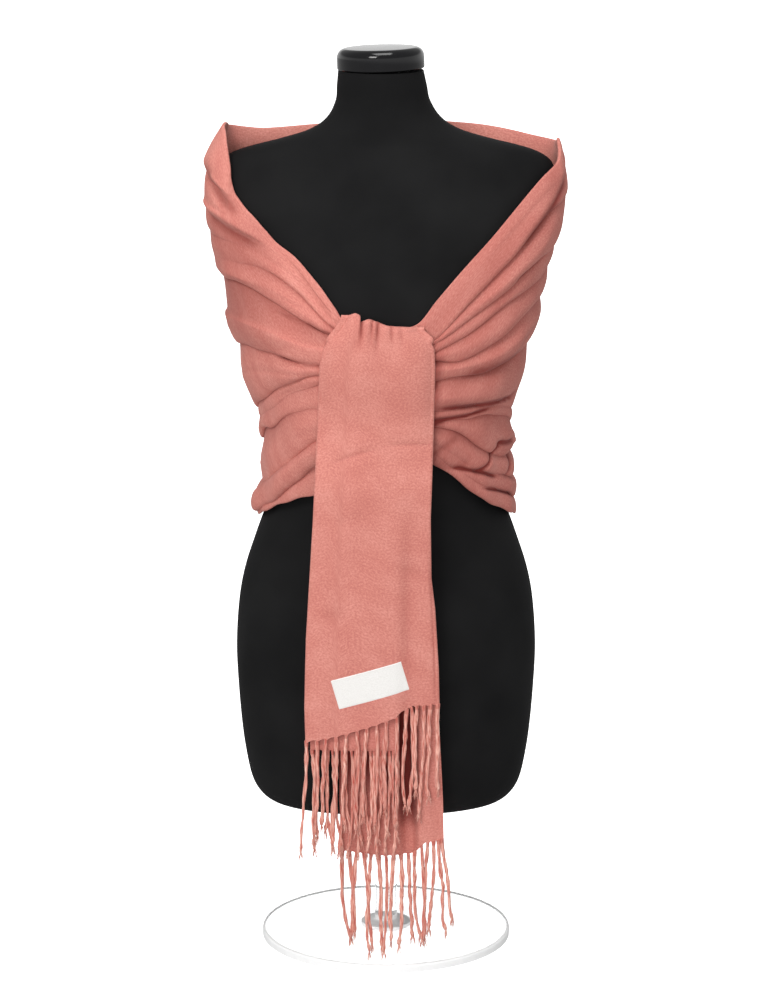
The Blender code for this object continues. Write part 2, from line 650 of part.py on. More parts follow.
STRAND_WIDTH = 3.4 * MM
STRIP_HEIGHT = 3.0 * MM
STRAND_STEPS = (0.0, 0.12, 0.35, 0.6, 0.82, 1.0)
STRAND_TIP = 0.72               # width of a strand's tip, as a share of its root's
STRAND_VARIES = 0.08            # strands are longer or shorter by up to this share
SWAY_TURN = 2.3                 # radians from one strand's sway to the next one's
LENGTH_TURN = 4.1               # and from one strand's length to the next one's
SWAY_CURVE = 1.5                # power of the sway's growth down a strand

# One row for each fringe, in mm:
#   hem, first and last strand, strands, length, side sway, plane behind the face
FRINGES = {
    "front_tail_fringe": (FRONT_HEM, -83, 55, 16, 114, 3.0, 0.0),
    "tail_inner_fringe": (INNER_HEM, -78, 11, 12, 108, 2.5, INNER_DEPTH / MM),
    "back_tail_fringe": (BACK_HEM, -46, 59, 15, 100, 3.0, BACK_TAIL_DEPTH / MM),
}
HEM_REACH = 2.5 * MM            # the strip clears the hem this far to each side


def fringe_top(hem, x):
    """Just under the lowest point of the hem near this x."""
    nearby = [along(hem, x + step * HEM_REACH) for step in (-1, 0, 1)]
    return min(nearby) - GAP


def build_fringe(name, material):
    """A narrow strip under the hem with four-sided strands growing from its underside."""
    hem, first, last, count, length, sway, behind = FRINGES[name]
    roots = np.linspace(first, last, count) * MM
    half = 0.5 * STRAND_WIDTH
    xs = np.sort(np.concatenate([roots - half, roots + half]))
    points, faces = [], []
    for x in xs:
        top = fringe_top(hem, x)
        front = behind * MM - tail_face(x, top)
        for y, z in ((front, top), (front + TAIL_WALL, top),
                     (front + TAIL_WALL, top - STRIP_HEIGHT), (front, top - STRIP_HEIGHT)):
            points.append((x, y, z))
    for cell in range(len(xs) - 1):
        a, b = 4 * cell, 4 * cell + 4
        faces += [[a, b, b + 1, a + 1], [a + 1, b + 1, b + 2, a + 2], [a + 3, b + 3, b, a]]
        if cell % 2:
            faces.append([a + 2, b + 2, b + 3, a + 3])
    faces.append([3, 2, 1, 0][::-1])
    end = 4 * (len(xs) - 1)
    faces.append([end, end + 1, end + 2, end + 3][::-1])
    for number in range(count):
        a, b = 8 * number, 8 * number + 4
        ring = [a + 3, b + 3, b + 2, a + 2]
        middle = np.mean([points[corner] for corner in ring], axis=0)
        swing = sway * MM * math.sin(SWAY_TURN * number + behind)
        drop = length * MM * (1 + STRAND_VARIES * math.sin(LENGTH_TURN * number + behind))
        base = np.array([points[corner] for corner in ring]) - middle
        for step in STRAND_STEPS[1:]:
            width = 1 + (STRAND_TIP - 1) * step
            centre = middle + np.array([swing * step**SWAY_CURVE, 0.0, -drop * step])
            flat = base.copy()
            flat[:, 2] = 0.0
            new = [len(points) + corner for corner in range(4)]
            points.extend(centre + flat * width)
            for side in range(4):
                after = (side + 1) % 4
                faces.append([ring[side], new[side], new[after], ring[after]])
            ring = new
        faces.append(ring)
    mesh = mesh_from(name, points, faces)
    turn_outward(mesh)
    add_object(name, mesh, material)


# ------------------------------------------------------------------- assembling

remove_start_objects()
shawl_collection = bpy.data.collections.new("pashmina_shawl_on_dress_form")
bpy.context.scene.collection.children.link(shawl_collection)

form_black = finish("form_black", (0.012, 0.012, 0.013), 0.85)
cap_black = finish("cap_black", (0.006, 0.006, 0.007), 0.12, coat=1.0)
stand_clear = finish("stand_clear", (0.93, 0.95, 0.95), 0.05, clear=0.9)
shawl_rose = finish("shawl_rose", (0.64, 0.25, 0.20), 0.80)
label_white = finish("label_white", (0.86, 0.85, 0.82), 0.70)

build_form(form_black)
build_cap(cap_black)
build_stand(stand_clear)
build_wrap(shawl_rose)
build_tails(shawl_rose)
build_label(label_white)
for fringe_name in FRINGES:
    build_fringe(fringe_name, shawl_rose)
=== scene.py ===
"""Pashmina shawl tied round a limbless dress form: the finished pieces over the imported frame.

Everything is in metres, +Z up, and the front faces -Y.  Right and left are the wearer's,
so right is at -X.  The bearing is the angle round the form in degrees: 0 is the middle of
the front, 90 the right arm, 180 the middle of the back and 270 the left arm.
"""
import math
import bpy
import numpy as np
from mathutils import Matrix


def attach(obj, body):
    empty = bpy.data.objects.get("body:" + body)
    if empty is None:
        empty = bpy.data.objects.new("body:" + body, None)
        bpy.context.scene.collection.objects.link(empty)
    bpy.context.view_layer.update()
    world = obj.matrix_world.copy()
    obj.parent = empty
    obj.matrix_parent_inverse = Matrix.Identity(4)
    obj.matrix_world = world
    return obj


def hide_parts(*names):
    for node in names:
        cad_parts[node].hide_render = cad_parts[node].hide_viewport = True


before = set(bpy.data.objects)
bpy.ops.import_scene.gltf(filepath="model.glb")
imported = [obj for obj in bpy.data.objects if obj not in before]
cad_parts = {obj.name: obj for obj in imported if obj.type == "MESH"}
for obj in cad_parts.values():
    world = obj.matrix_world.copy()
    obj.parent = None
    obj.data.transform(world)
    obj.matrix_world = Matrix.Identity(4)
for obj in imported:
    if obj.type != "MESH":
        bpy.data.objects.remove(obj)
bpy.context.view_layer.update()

# ------------------------------------------------------------------ camera, floor and light
# A long lens a little above the shoulders looks down by 12.4 degrees.  The floor is a plain
# white light table, which throws no light on the cloth, and the light is three soft boxes,
# the main one high in front, in a room whose walls are white up to a little above eye level.

FRAME_WIDTH, FOCAL_LENGTH, SENSOR_WIDTH = 768, 3606, 36     # pixels, pixels and mm
CAMERA_PLACE, LOOK_DOWN = (-0.0022, -3.84, 1.339), 12.4
LIGHT_AIM = (0.0, 0.0, 0.6)
FLOOR_REACH, FLOOR_DROP = 40, 0.0005       # the drop keeps the floor clear of the base plate
# name, place, size in metres, power in watts, colour
SOFT_BOXES = (
    ("key_box", (-1.3, -3.0, 3.3), 1.2, 66, (1.0, 0.985, 0.97)),
    ("fill_box", (-0.5, -3.6, 0.45), 1.5, 47, (1.0, 0.98, 0.98)),
    ("top_box", (0.1, -0.5, 3.2), 1.2, 28, (1.0, 1.0, 1.0)),
)
# sine of the height above the horizon, brightness of the room there
ROOM_LIGHT = ((-1.0, 0.48), (-0.10, 0.48), (-0.05, 1.0), (0.18, 1.0), (0.34, 0.36), (1.0, 0.36))


def node(tree, kind, inputs=None, **settings):
    """Add one shader node; inputs maps a socket's name or number to a value or another socket."""
    item = tree.nodes.new(kind)
    for key, value in settings.items():
        setattr(item, key, value)
    for key, value in (inputs or {}).items():
        socket = item.inputs[key]
        if isinstance(value, bpy.types.NodeSocket):
            tree.links.new(value, socket)
        else:
            socket.default_value = value
    return item


def rescaled(tree, value, start=0.0, end=1.0, low=0.0, high=1.0):
    """A value between start and end, brought to lie between low and high."""
    return node(tree, "ShaderNodeMapRange", {"Value": value, "From Min": start, "From Max": end,
                                             "To Min": low, "To Max": high}).outputs["Result"]


def colour_ramp(tree, share, stops):
    """The colour at a share of 0 to 1, between stops that are each a share and its colour."""
    ramp = node(tree, "ShaderNodeValToRGB", {"Fac": share})
    elements = ramp.color_ramp.elements
    while len(elements) < len(stops):
        elements.new(1.0)
    for element, (place, colour) in zip(elements, stops):
        element.position = place
        element.color = (*colour, 1)
    return ramp.outputs["Color"]


def plain_material(name, colour, roughness, finish=None):
    """A material, its node tree and its Principled shader, with one value for each socket;
    finish maps the names of further sockets to their values."""
    material = bpy.data.materials.new(name)
    material.use_nodes = True
    shader = material.node_tree.nodes["Principled BSDF"]
    shader.inputs["Base Color"].default_value = (*colour, 1)
    shader.inputs["Roughness"].default_value = roughness
    for socket, value in (finish or {}).items():
        shader.inputs[socket].default_value = value
    return material, material.node_tree, shader


camera_data = bpy.data.cameras.new("studio_camera")
camera_data.sensor_fit = "HORIZONTAL"
camera_data.sensor_width = SENSOR_WIDTH
camera_data.lens = FOCAL_LENGTH / FRAME_WIDTH * SENSOR_WIDTH
camera_data.clip_end = 200
studio_camera = bpy.data.objects.new("studio_camera", camera_data)
studio_camera.location = CAMERA_PLACE
studio_camera.rotation_euler = (math.radians(90 - LOOK_DOWN), 0, 0)
bpy.context.scene.collection.objects.link(studio_camera)
bpy.context.scene.camera = studio_camera
bpy.context.scene.view_settings.view_transform = "Standard"

for box_name, place, side, power, colour in SOFT_BOXES:
    lamp = bpy.data.lights.new(box_name, "AREA")
    lamp.shape = "SQUARE"
    lamp.size = side
    lamp.energy = power
    lamp.color = colour
    box = bpy.data.objects.new(box_name, lamp)
    box.location = place
    aim = np.array(LIGHT_AIM) - np.array(place)
    yaw = math.atan2(aim[0], -aim[1])
    pitch = math.acos(-aim[2] / np.linalg.norm(aim))
    box.rotation_euler = (pitch, 0, math.pi + yaw)
    box.visible_glossy = box_name != "fill_box"
    bpy.context.scene.collection.objects.link(box)

room = bpy.data.worlds.new("bright_room")
room.use_nodes = True
room_way = node(room.node_tree, "ShaderNodeTexCoord").outputs["Generated"]
room_axes = node(room.node_tree, "ShaderNodeSeparateXYZ", {"Vector": room_way})
room_height = rescaled(room.node_tree, room_axes.outputs["Z"], start=-1.0)
room_stops = [((sine + 1) / 2, (brightness,) * 3) for sine, brightness in ROOM_LIGHT]
room.node_tree.links.new(colour_ramp(room.node_tree, room_height, room_stops),
                         room.node_tree.nodes["Background"].inputs["Color"])
bpy.context.scene.world = room

light_table, _, _ = plain_material("light_table", (0.8, 0.8, 0.8), 0.95,
                                   {"Emission Color": (1, 1, 1, 1), "Emission Strength": 1.3})
floor_corners = [(x * FLOOR_REACH, y * FLOOR_REACH, -FLOOR_DROP)
                 for x, y in ((-1, -1), (1, -1), (1, 1), (-1, 1))]
floor_mesh = bpy.data.meshes.new("floor")
floor_mesh.from_pydata(floor_corners, [], [(0, 1, 2, 3)])
floor_mesh.materials.append(light_table)
floor = bpy.data.objects.new("floor", floor_mesh)
floor.visible_diffuse = False
floor.visible_glossy = False
bpy.context.scene.collection.objects.link(floor)

# -------------------------------------------------------------------------- the dress form
# A hard torso without limbs, covered in one piece of black jersey stretched smooth.  The
# cover is turned under the lower edge and under the neck disc, so no seam shows.

MM = 0.001
# Sections of the torso, in mm.
#    height  half width  front  back   round (1 is an ellipse, less is boxier)
TORSO_SECTIONS = (
    (162, 122, 84, 96, 0.86), (165, 132, 95, 106, 0.86), (171, 140, 101, 112, 0.88),
    (182, 147, 106, 117, 0.90), (200, 152, 110, 121, 0.92), (234, 157.5, 112, 124, 0.93),
    (285, 162, 113, 126, 0.94), (336, 164, 112, 124, 0.94), (387, 160.5, 108, 118, 0.94),
    (421, 154, 103, 111, 0.94), (455, 143, 98.5, 104, 0.94), (480, 134, 96, 99, 0.94),
    (505, 124, 96, 94, 0.94), (540, 118.5, 100, 92, 0.94), (575, 119.5, 107, 93, 0.94),
    (620, 126, 120, 98, 0.94), (665, 138, 129.3, 104, 0.94), (705, 150, 126.2, 107.5, 0.93),
    (755, 165, 109.5, 110, 0.93), (805, 177.5, 90, 108.5, 0.93), (835, 182.6, 75.5, 102.5, 0.92),
    (854, 181.5, 66, 94, 0.91), (866, 175.5, 60, 86, 0.91), (873, 166, 56.5, 80, 0.91),
    (879, 150, 54, 75, 0.92), (888, 114, 51, 67, 0.94), (898, 82, 50, 60, 0.97),
    (911, 62, 49.5, 54, 1.0), (930, 50.5, 48.5, 50, 1.0), (946, 48, 47, 47.5, 1.0),
    (962, 45.5, 45.5, 45.5, 1.0),
)
TORSO_COLUMNS = 120
TORSO_ROWS = ((162, 205, 26), (205, 860, 120), (860, 962, 60))     # from, to in mm, rows
NECK_LEAN, LEAN_START, NECK_TOP = -5.5 * MM, 880 * MM, 962 * MM


def through(stations, values, at):
    """Smooth curve through (station, value) pairs: on each span the cubic that meets both
    values with the slopes from neighbour to neighbour."""
    stations, values, at = (np.asarray(part, float) for part in (stations, values, at))
    slopes = np.gradient(values, stations)
    slopes[1:-1] = (values[2:] - values[:-2]) / (stations[2:] - stations[:-2])
    left = np.clip(np.searchsorted(stations, at) - 1, 0, len(stations) - 2)
    span = stations[left + 1] - stations[left]
    t = (at - stations[left]) / span
    rise = (2 * t**3 - 3 * t**2 + 1) * values[left] + (3 * t**2 - 2 * t**3) * values[left + 1]
    bend = (t**3 - 2 * t**2 + t) * slopes[left] + (t**3 - t**2) * slopes[left + 1]
    return rise + bend * span


def grid_faces(rows, columns, ring=False, start=0):
    """Point numbers of the quads of a grid; a ring also joins its last column to its first."""
    numbers = np.arange(rows * columns).reshape(rows, columns) + start
    if ring:
        numbers = np.concatenate([numbers, numbers[:, :1]], axis=1)
    quads = np.stack([numbers[:-1, :-1], numbers[:-1, 1:], numbers[1:, 1:], numbers[1:, :-1]], -1)
    return quads.reshape(-1, 4)


def add_piece(name, points, faces, material, uv=None, sharp=60, shade=None):
    """A finished piece from whole arrays: points (n, 3), faces as a list of arrays of point
    numbers, uv (n, 2) in metres along the surface, and shade (n), the painted shade that the
    material mixes into the colour: 0 in the open and 1 deep in a fold."""
    mesh = bpy.data.meshes.new(name)
    points = np.asarray(points, float).reshape(-1, 3)
    corners = np.concatenate([part.ravel() for part in faces])
    sizes = np.concatenate([np.full(len(part), part.shape[1]) for part in faces])
    mesh.vertices.add(len(points))
    mesh.vertices.foreach_set("co", points.ravel())
    mesh.loops.add(len(corners))
    mesh.loops.foreach_set("vertex_index", corners)
    mesh.polygons.add(len(sizes))
    mesh.polygons.foreach_set("loop_start", np.cumsum(sizes) - sizes)
    mesh.update(calc_edges=True)
    if uv is not None:
        layer = mesh.uv_layers.new(name="along_cloth")
        layer.uv.foreach_set("vector", np.asarray(uv, float).reshape(-1, 2)[corners].ravel())
    if shade is not None:
        values = np.asarray(shade, np.float32).ravel()
        mesh.attributes.new("shade", "FLOAT", "POINT").data.foreach_set("value", values)
    mesh.shade_smooth()
    mesh.set_sharp_from_angle(angle=math.radians(sharp))
    mesh.materials.append(material)
    item = bpy.data.objects.new(name, mesh)
    bpy.context.scene.collection.objects.link(item)
    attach(item, "root")
    return item


def torso_surface(columns, heights):
    """Rings of the torso: x is the half width times sine to a power, y the front or back
    depth times cosine to the same power, and the neck leans a little above the shoulders."""
    table = np.array(TORSO_SECTIONS, float)
    wide, front, back, power = (through(table[:, 0], table[:, k], heights)[:, None] for k in range(1, 5))
    turn = np.linspace(0, 2 * math.pi, columns, endpoint=False)[None]
    sine, cosine = np.sin(turn), np.cos(turn)
    z = heights[:, None] * MM + 0 * turn
    lean = NECK_LEAN * np.clip((z - LEAN_START) / (NECK_TOP - LEAN_START), 0, 1)
    x = lean + wide * MM * np.sign(sine) * np.abs(sine) ** power
    y = -np.where(cosine > 0, front, back) * MM * np.sign(cosine) * np.abs(cosine) ** power
    return np.stack([x, y, z], -1)


def closed_lathe(rings):
    """A stack of rings from the bottom up, closed by a fan of triangles at either end."""
    rows, columns = rings.shape[:2]
    ends = np.stack([rings[0].mean(axis=0), rings[-1].mean(axis=0)])
    points = np.concatenate([rings.reshape(-1, 3), ends])
    first = np.arange(columns)
    after = np.roll(first, -1)
    low_fan = np.stack([after, first, np.full(columns, rows * columns)], -1)
    top = (rows - 1) * columns
    high_fan = np.stack([first + top, after + top, np.full(columns, rows * columns + 1)], -1)
    return points, [grid_faces(rows, columns, ring=True), low_fan, high_fan]


def object_place(tree):
    """The point on the object itself, in metres."""
    return node(tree, "ShaderNodeTexCoord").outputs["Object"]


def noise(tree, where, scale, detail=2.0, roughness=0.5):
    """Cloudy noise from 0 to 1, with about so many clouds to the metre."""
    return node(tree, "ShaderNodeTexNoise", {"Vector": where, "Scale": scale, "Detail": detail,
                                             "Roughness": roughness}).outputs["Fac"]


def add_bump(tree, shader, height, strength, distance):
    """Fine relief on the surface: height is 0 to 1 and distance what 1 stands for, in metres."""
    bump = node(tree, "ShaderNodeBump", {"Height": height, "Strength": strength, "Distance": distance})
    tree.links.new(bump.outputs["Normal"], shader.inputs["Normal"])


def jersey_material():
    """Matt black jersey: fine noise for the loops and a slow change of shade."""
    material, tree, shader = plain_material("black_jersey", (0.012, 0.012, 0.013), 0.82,
                                            {"Specular IOR Level": 0.1})
    where = object_place(tree)
    shade = colour_ramp(tree, noise(tree, where, 14.0),
                        ((0.3, (0.0072, 0.0072, 0.0076)), (0.7, (0.0112, 0.0112, 0.0116))))
    tree.links.new(shade, shader.inputs["Base Color"])
    add_bump(tree, shader, noise(tree, where, 1500.0, 1.0), 0.25, 0.2 * MM)
    return material


torso_heights = np.unique(np.concatenate([np.linspace(*stretch) for stretch in TORSO_ROWS]))
torso_points, torso_faces = closed_lathe(torso_surface(TORSO_COLUMNS, torso_heights))
form_cover = add_piece("form_cover", torso_points, torso_faces, jersey_material())
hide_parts("dress_form")

# ---------------------------------------------------------------------------- the neck disc
# A thick disc of gloss black lacquer screwed down on the neck, its top edge well rounded
# and its top slightly crowned.  It sits a little askew, as such discs do.

DISC_RADIUS, DISC_HEIGHT, DISC_TILT = 46.5 * MM, 23 * MM, math.radians(1.6)
DISC_EDGE, DISC_FOOT = 9.5 * MM, 1.6 * MM  # radii of the roundings at its top and foot
DISC_CROWN, DISC_GAP = 0.6 * MM, 0.3 * MM


def disc_rings(columns):
    """Quarter round at the foot, straight side, quarter round at the top, then a crown that
    falls with the square of the radius; the whole leans about the y axis."""
    foot = np.radians(np.linspace(-90, 0, 7))
    edge = np.radians(np.linspace(0, 84, 15))
    flat = np.linspace(1, 0.02, 16)[1:]
    rim = DISC_RADIUS - DISC_EDGE
    shoulder = DISC_HEIGHT - DISC_CROWN - DISC_EDGE
    inner = rim + DISC_EDGE * math.cos(edge[-1])
    top = shoulder + DISC_EDGE * math.sin(edge[-1])
    radius = np.concatenate([DISC_RADIUS - DISC_FOOT * (1 - np.cos(foot)), rim + DISC_EDGE * np.cos(edge),
                             inner * flat])
    height = np.concatenate([DISC_FOOT * (1 + np.sin(foot)), shoulder + DISC_EDGE * np.sin(edge),
                             top + (DISC_HEIGHT - top) * (1 - flat**2)])
    turn = np.linspace(0, 2 * math.pi, columns, endpoint=False)[None]
    x, y = radius[:, None] * np.sin(turn), -radius[:, None] * np.cos(turn)
    z = height[:, None] + 0 * turn
    lift = NECK_TOP + DISC_GAP + DISC_RADIUS * math.sin(DISC_TILT)
    return np.stack([NECK_LEAN + x * math.cos(DISC_TILT) - z * math.sin(DISC_TILT), y,
                     lift + z * math.cos(DISC_TILT) + x * math.sin(DISC_TILT)], -1)


def lacquer_material():
    """Gloss black lacquer under a thin coat, hazier in places from handling."""
    material, tree, shader = plain_material(
        "black_lacquer", (0.006, 0.006, 0.007), 0.1,
        {"Specular IOR Level": 0.3, "Coat Weight": 0.12, "Coat Roughness": 0.04})
    haze = rescaled(tree, noise(tree, object_place(tree), 60.0, 3.0), low=0.06, high=0.16)
    tree.links.new(haze, shader.inputs["Roughness"])
    return material


neck_disc = add_piece("neck_disc", *closed_lathe(disc_rings(96)), lacquer_material(), sharp=80)
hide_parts("neck_cap")

# ---------------------------------------------------------------------------- the low stand
# A round base plate and a short post of clear cast acrylic, turned and polished.  The rim
# of the plate and the foot of the post are finely sanded, which makes them pale.

SANDED_RIM = (134.5 * MM, 136.0 * MM)      # radius where the sanding starts and where it is full
SANDED_FOOT = (9.5 * MM, 22.0 * MM)        # heights between which the post is sanded


def compute(tree, operation, first, second=0.0):
    """One step of arithmetic between two numbers or sockets."""
    return node(tree, "ShaderNodeMath", {0: first, 1: second}, operation=operation).outputs["Value"]


def acrylic_material():
    """Clear acrylic with a faint wave; where it is sanded it is rough and lets nothing through."""
    material, tree, shader = plain_material("clear_acrylic", (0.985, 0.99, 0.99), 0.01,
                                            {"Transmission Weight": 1.0, "IOR": 1.49})
    where = object_place(tree)
    wave = noise(tree, where, 25.0, 1.0)
    add_bump(tree, shader, wave, 0.1, 0.4 * MM)
    axes = node(tree, "ShaderNodeSeparateXYZ", {"Vector": where}).outputs
    level = node(tree, "ShaderNodeCombineXYZ", {"X": axes["X"], "Y": axes["Y"]}).outputs["Vector"]
    reach = node(tree, "ShaderNodeVectorMath", {0: level}, operation="LENGTH").outputs["Value"]
    at_foot = compute(tree, "MULTIPLY", compute(tree, "GREATER_THAN", axes["Z"], SANDED_FOOT[0]),
                      compute(tree, "LESS_THAN", axes["Z"], SANDED_FOOT[1]))
    sanded = compute(tree, "MAXIMUM", rescaled(tree, reach, *SANDED_RIM), at_foot)
    roughness = node(tree, "ShaderNodeMix", {0: sanded, 2: rescaled(tree, wave, high=0.03), 3: 0.7})
    tree.links.new(roughness.outputs[0], shader.inputs["Roughness"])
    tree.links.new(compute(tree, "SUBTRACT", 1.0, sanded), shader.inputs["Transmission Weight"])
    return material


acrylic = acrylic_material()
for stand_piece in ("stand_base", "stand_post"):
    bpy.data.objects[stand_piece].material_slots[0].material = acrylic

# ------------------------------------------------------------------------ the wrapped cloth
# One long width of fine twill in salmon rose, wound round the arms and back with its top
# edge folded in.  It is pulled together at the tie in front, so its folds fan out from there.

WRAP_GIRTH = (          # the plain surface under the folds, mm: height, right, left, front, back
    (440, 148, 148, 106, 114), (482, 137, 138, 103, 106), (520, 128, 133, 107, 101),
    (560, 131, 130, 114, 101), (610, 135, 131, 124, 105), (658, 150, 145, 131, 109),
    (700, 162, 157, 129, 112), (745, 172, 168, 117, 114), (800, 186, 183, 96, 112),
    (850, 188, 186, 72, 104), (906, 166, 178, 56, 90),
)
WRAP_ROUND = 0.93
TOP_EDGE = (            # bearing, height in mm: the V in front, the flap and the back's edge
    (4, 706), (14, 713), (17, 727), (22, 748), (30, 774), (38, 790), (45, 810),
    (52, 824), (57, 838), (61, 862), (68, 881), (78, 898), (90, 905), (98, 904),
    (106, 900), (116, 897), (126, 893), (136, 890), (150, 891), (180, 896), (210, 893), (240, 882),
    (262, 884), (270, 889), (276, 879), (285, 866), (300, 851), (315, 821), (330, 776),
    (343, 732), (349, 710), (356, 704),
)
# The long folds: the height in mm of the pushed-in line under each, at each bearing.
FOLD_BEARINGS = (4, 17, 30, 45, 60, 75, 90, 120, 150, 180, 210, 240, 270, 285, 300, 315, 330, 343, 356)
#            tie ........... right arm        back                      left arm .......... tie
FOLD_LINES = {
    "flap":   ((703, 720, 766, 803, 836, 846, 861), (852, 848, 845, 846, 850),
               (861, 849, 835, 803, 758, 713, 697)),
    "first":  ((700, 716, 760, 790, 803, 813, 821), (810, 800, 793, 797, 812),
               (830, 824, 809, 774, 733, 694, 682)),
    "second": ((697, 711, 752, 777, 785, 790, 792), (780, 768, 757, 757, 766),
               (784, 778, 766, 738, 712, 690, 677)),
    "third":  ((694, 706, 741, 762, 766, 766, 766), (752, 738, 728, 730, 742),
               (757, 748, 737, 721, 697, 680, 668)),
    "fourth": ((689, 697, 714, 734, 745, 747, 750), (728, 706, 694, 696, 708),
               (728, 720, 707, 687, 673, 673, 666)),
    "fifth":  ((673, 672, 669, 677, 679, 677, 676), (668, 661, 654, 657, 670),
               (688, 680, 669, 659, 656, 652, 649)),
    "sixth":  ((657, 657, 653, 642, 629, 618, 607), (612, 618, 616, 610, 606),
               (606, 612, 618, 621, 621, 621, 620)),
    "seventh": ((653, 651, 642, 628, 609, 597, 589), (590, 596, 594, 590, 586),
                (584, 594, 603, 607, 606, 604, 604)),
    "eighth": ((621, 619, 617, 609, 592, 583, 567), (562, 560, 562, 562, 560),
               (557, 558, 562, 577, 596, 600, 600)),
    "ninth":  ((603, 597, 588, 564, 544, 529, 520), (528, 534, 536, 534, 530),
               (527, 530, 537, 546, 566, 584, 588)),
    "tenth":  ((576, 569, 559, 537, 514, 498, 488), (496, 502, 506, 507, 505),
               (503, 511, 520, 531, 552, 573, 578)),
    "bottom": ((540, 533, 524, 514, 502, 489, 481), (478, 476, 475, 476, 479),
               (482, 488, 500, 516, 543, 562, 569)),
}
# How far each fold stands out, in mm, and how deep the line under it is cut, 0 to 1.
SWELL_BEARINGS = (4, 17, 30, 45, 60, 75, 90, 180, 270, 285, 300, 315, 330, 343, 356)
FOLD_SWELL = {
    "flap":    ((4, 4, 5, 6, 9, 11, 10, 6, 7, 8.5, 9.5, 9, 7.5, 5, 5),
                (0, 0, 0, 0, 0, 0, 0.05, 0.3, 0.1, 0, 0, 0, 0, 0, 0)),
    "first":   ((4, 4, 5, 6, 6, 6, 5, 7, 8, 9.5, 10, 9.5, 8, 5, 5),
                (0, 0, 0, 0, 0.1, 0.2, 0.35, 0.7, 0.1, 0.4, 1.0, 1.0, 1.0, 1.0, 1.0)),
    "second":  ((4, 4, 4, 4, 5, 5, 5, 7, 6, 8, 9, 9, 6, 5, 5),
                (0, 0, 0, 0, 0.1, 0.3, 0.4, 0.6, 0.9, 1.0, 1.0, 0.8, 0.7, 0.7, 0.8)),
    "third":   ((4, 5, 6, 6, 6, 6, 6, 6, 4, 5, 6, 5, 5, 4, 4),
                (0.1, 0.8, 0.8, 0.3, 0.05, 0, 0, 0.6, 0.6, 0.7, 0.8, 0.7, 0.9, 1.0, 1.0)),
    "fourth":  ((5, 6, 8, 9, 9, 9, 8, 8, 5, 6, 7, 8, 7, 6, 5),
                (1.0, 1.0, 0.8, 0.5, 0.5, 0.6, 0.7, 0.8, 0.6, 0.6, 0.6, 0.7, 1.0, 1.0, 1.0)),
    "fifth":   ((6, 8, 10, 12, 13, 11, 9, 9, 7, 9, 12, 11, 9, 7, 6),
                (1.0, 1.0, 1.0, 0.8, 0.7, 0.7, 0.8, 0.9, 1.0, 1.0, 1.0, 1.0, 1.0, 1.0, 1.0)),
    "sixth":   ((5, 7, 9, 11, 12, 13, 14, 10, 8, 10, 12, 12, 11, 9, 7),
                (0.6, 0.6, 0.7, 0.8, 1.0, 1.0, 1.0, 0.9, 1.0, 1.0, 1.0, 1.0, 1.0, 1.0, 1.0)),
    "seventh": ((3, 4, 5, 5, 5, 5, 4, 6, 6, 7, 7, 7, 6, 6, 5),
                (0.4, 0.4, 0.4, 0.3, 0.2, 0.2, 0.3, 0.5, 0.3, 0.4, 0.5, 0.9, 1.0, 1.0, 1.0)),
    "eighth":  ((4, 4, 5, 6, 6, 6, 6, 7, 8, 9, 9, 9, 7, 5, 4),
                (0, 0.1, 0.2, 0.4, 0.9, 1.0, 1.0, 0.8, 1.0, 1.0, 1.0, 1.0, 1.0, 1.0, 1.0)),
    "ninth":   ((5, 7, 9, 9, 8, 7, 7, 8, 8, 9, 9, 9, 8, 6, 5),
                (1.0, 1.0, 1.0, 1.0, 1.0, 1.0, 1.0, 0.9, 0.9, 0.8, 0.4, 0.1, 0, 0, 0)),
    "tenth":   ((6, 9, 10, 11, 12, 12, 13, 9, 8, 8, 7, 7, 6, 5, 5),
                (1.0, 1.0, 1.0, 1.0, 1.0, 1.0, 1.0, 0.9, 1.0, 0.8, 0.5, 0.2, 0.05, 0, 0)),
    "bottom":  ((3, 4, 4, 4, 4, 4, 3, 6, 4, 6, 7, 7, 6, 5, 5),
                (0.6, 0.6, 0.6, 0.7, 0.7, 0.8, 0.8, 0.6, 0.7, 0.6, 0.6, 0.6, 0.6, 0.6, 0.6)),
}
# Where each fold stands out furthest, from 0 at its top to 1 at its bottom, how hollow the
# cloth is above that (1 is plump, 2 stays deep and then juts out), and how sharp the ridge is
# there on the right arm.
FOLD_SHAPE = {
    "flap": (0.80, 1.0, 0), "first": (0.74, 1.3, 0), "second": (0.70, 1.2, 0), "third": (0.70, 1.2, 0),
    "fourth": (0.72, 1.4, 0.2), "fifth": (0.64, 2.0, 1.0), "sixth": (0.70, 1.5, 0), "seventh": (0.65, 1.2, 0),
    "eighth": (0.70, 1.4, 0.3), "ninth": (0.66, 1.6, 0.2), "tenth": (0.62, 1.1, 0), "bottom": (0.62, 1.0, 0),
}
TOP_EDGE_CREASE = 0.35
RIDGE_BEARINGS = (150, 97)      # ridges set in at the back and are full on the right arm
STEEPEST_SWELL = 0.5            # how far a fold may stand out, as a share of its height
SMALLEST_FOLD = 2.5 * MM
LINE_WANDER, SWELL_WANDER = 0.7 * MM, 0.12
CREST_ROWS, LIP_ROWS, EDGE_ROWS = 15, 12, 9
LIP_START, LIP_TURN = 40, 94    # degrees that the lip over a line turns, and more under a full crease
BACK_FLARE, FLARE_REACH = 15 * MM, 32 * MM   # the back's top edge stands off the neck like a collar
FLARE_BEARINGS = ((98, 120), (264, 240))     # from where to where it sets in, on the right and on the left
EDGE_ROLL = 1.1 * MM            # radius of the folded-in top edge
EDGE_TUCK = ((4, 9), (60, 9), (100, 42), (262, 42), (290, 9), (356, 9))  # bearing, mm tucked down inside
HEM_DROP, HEM_IN = 9 * MM, 0.6 * MM          # the bottom fold's edge goes up inside it
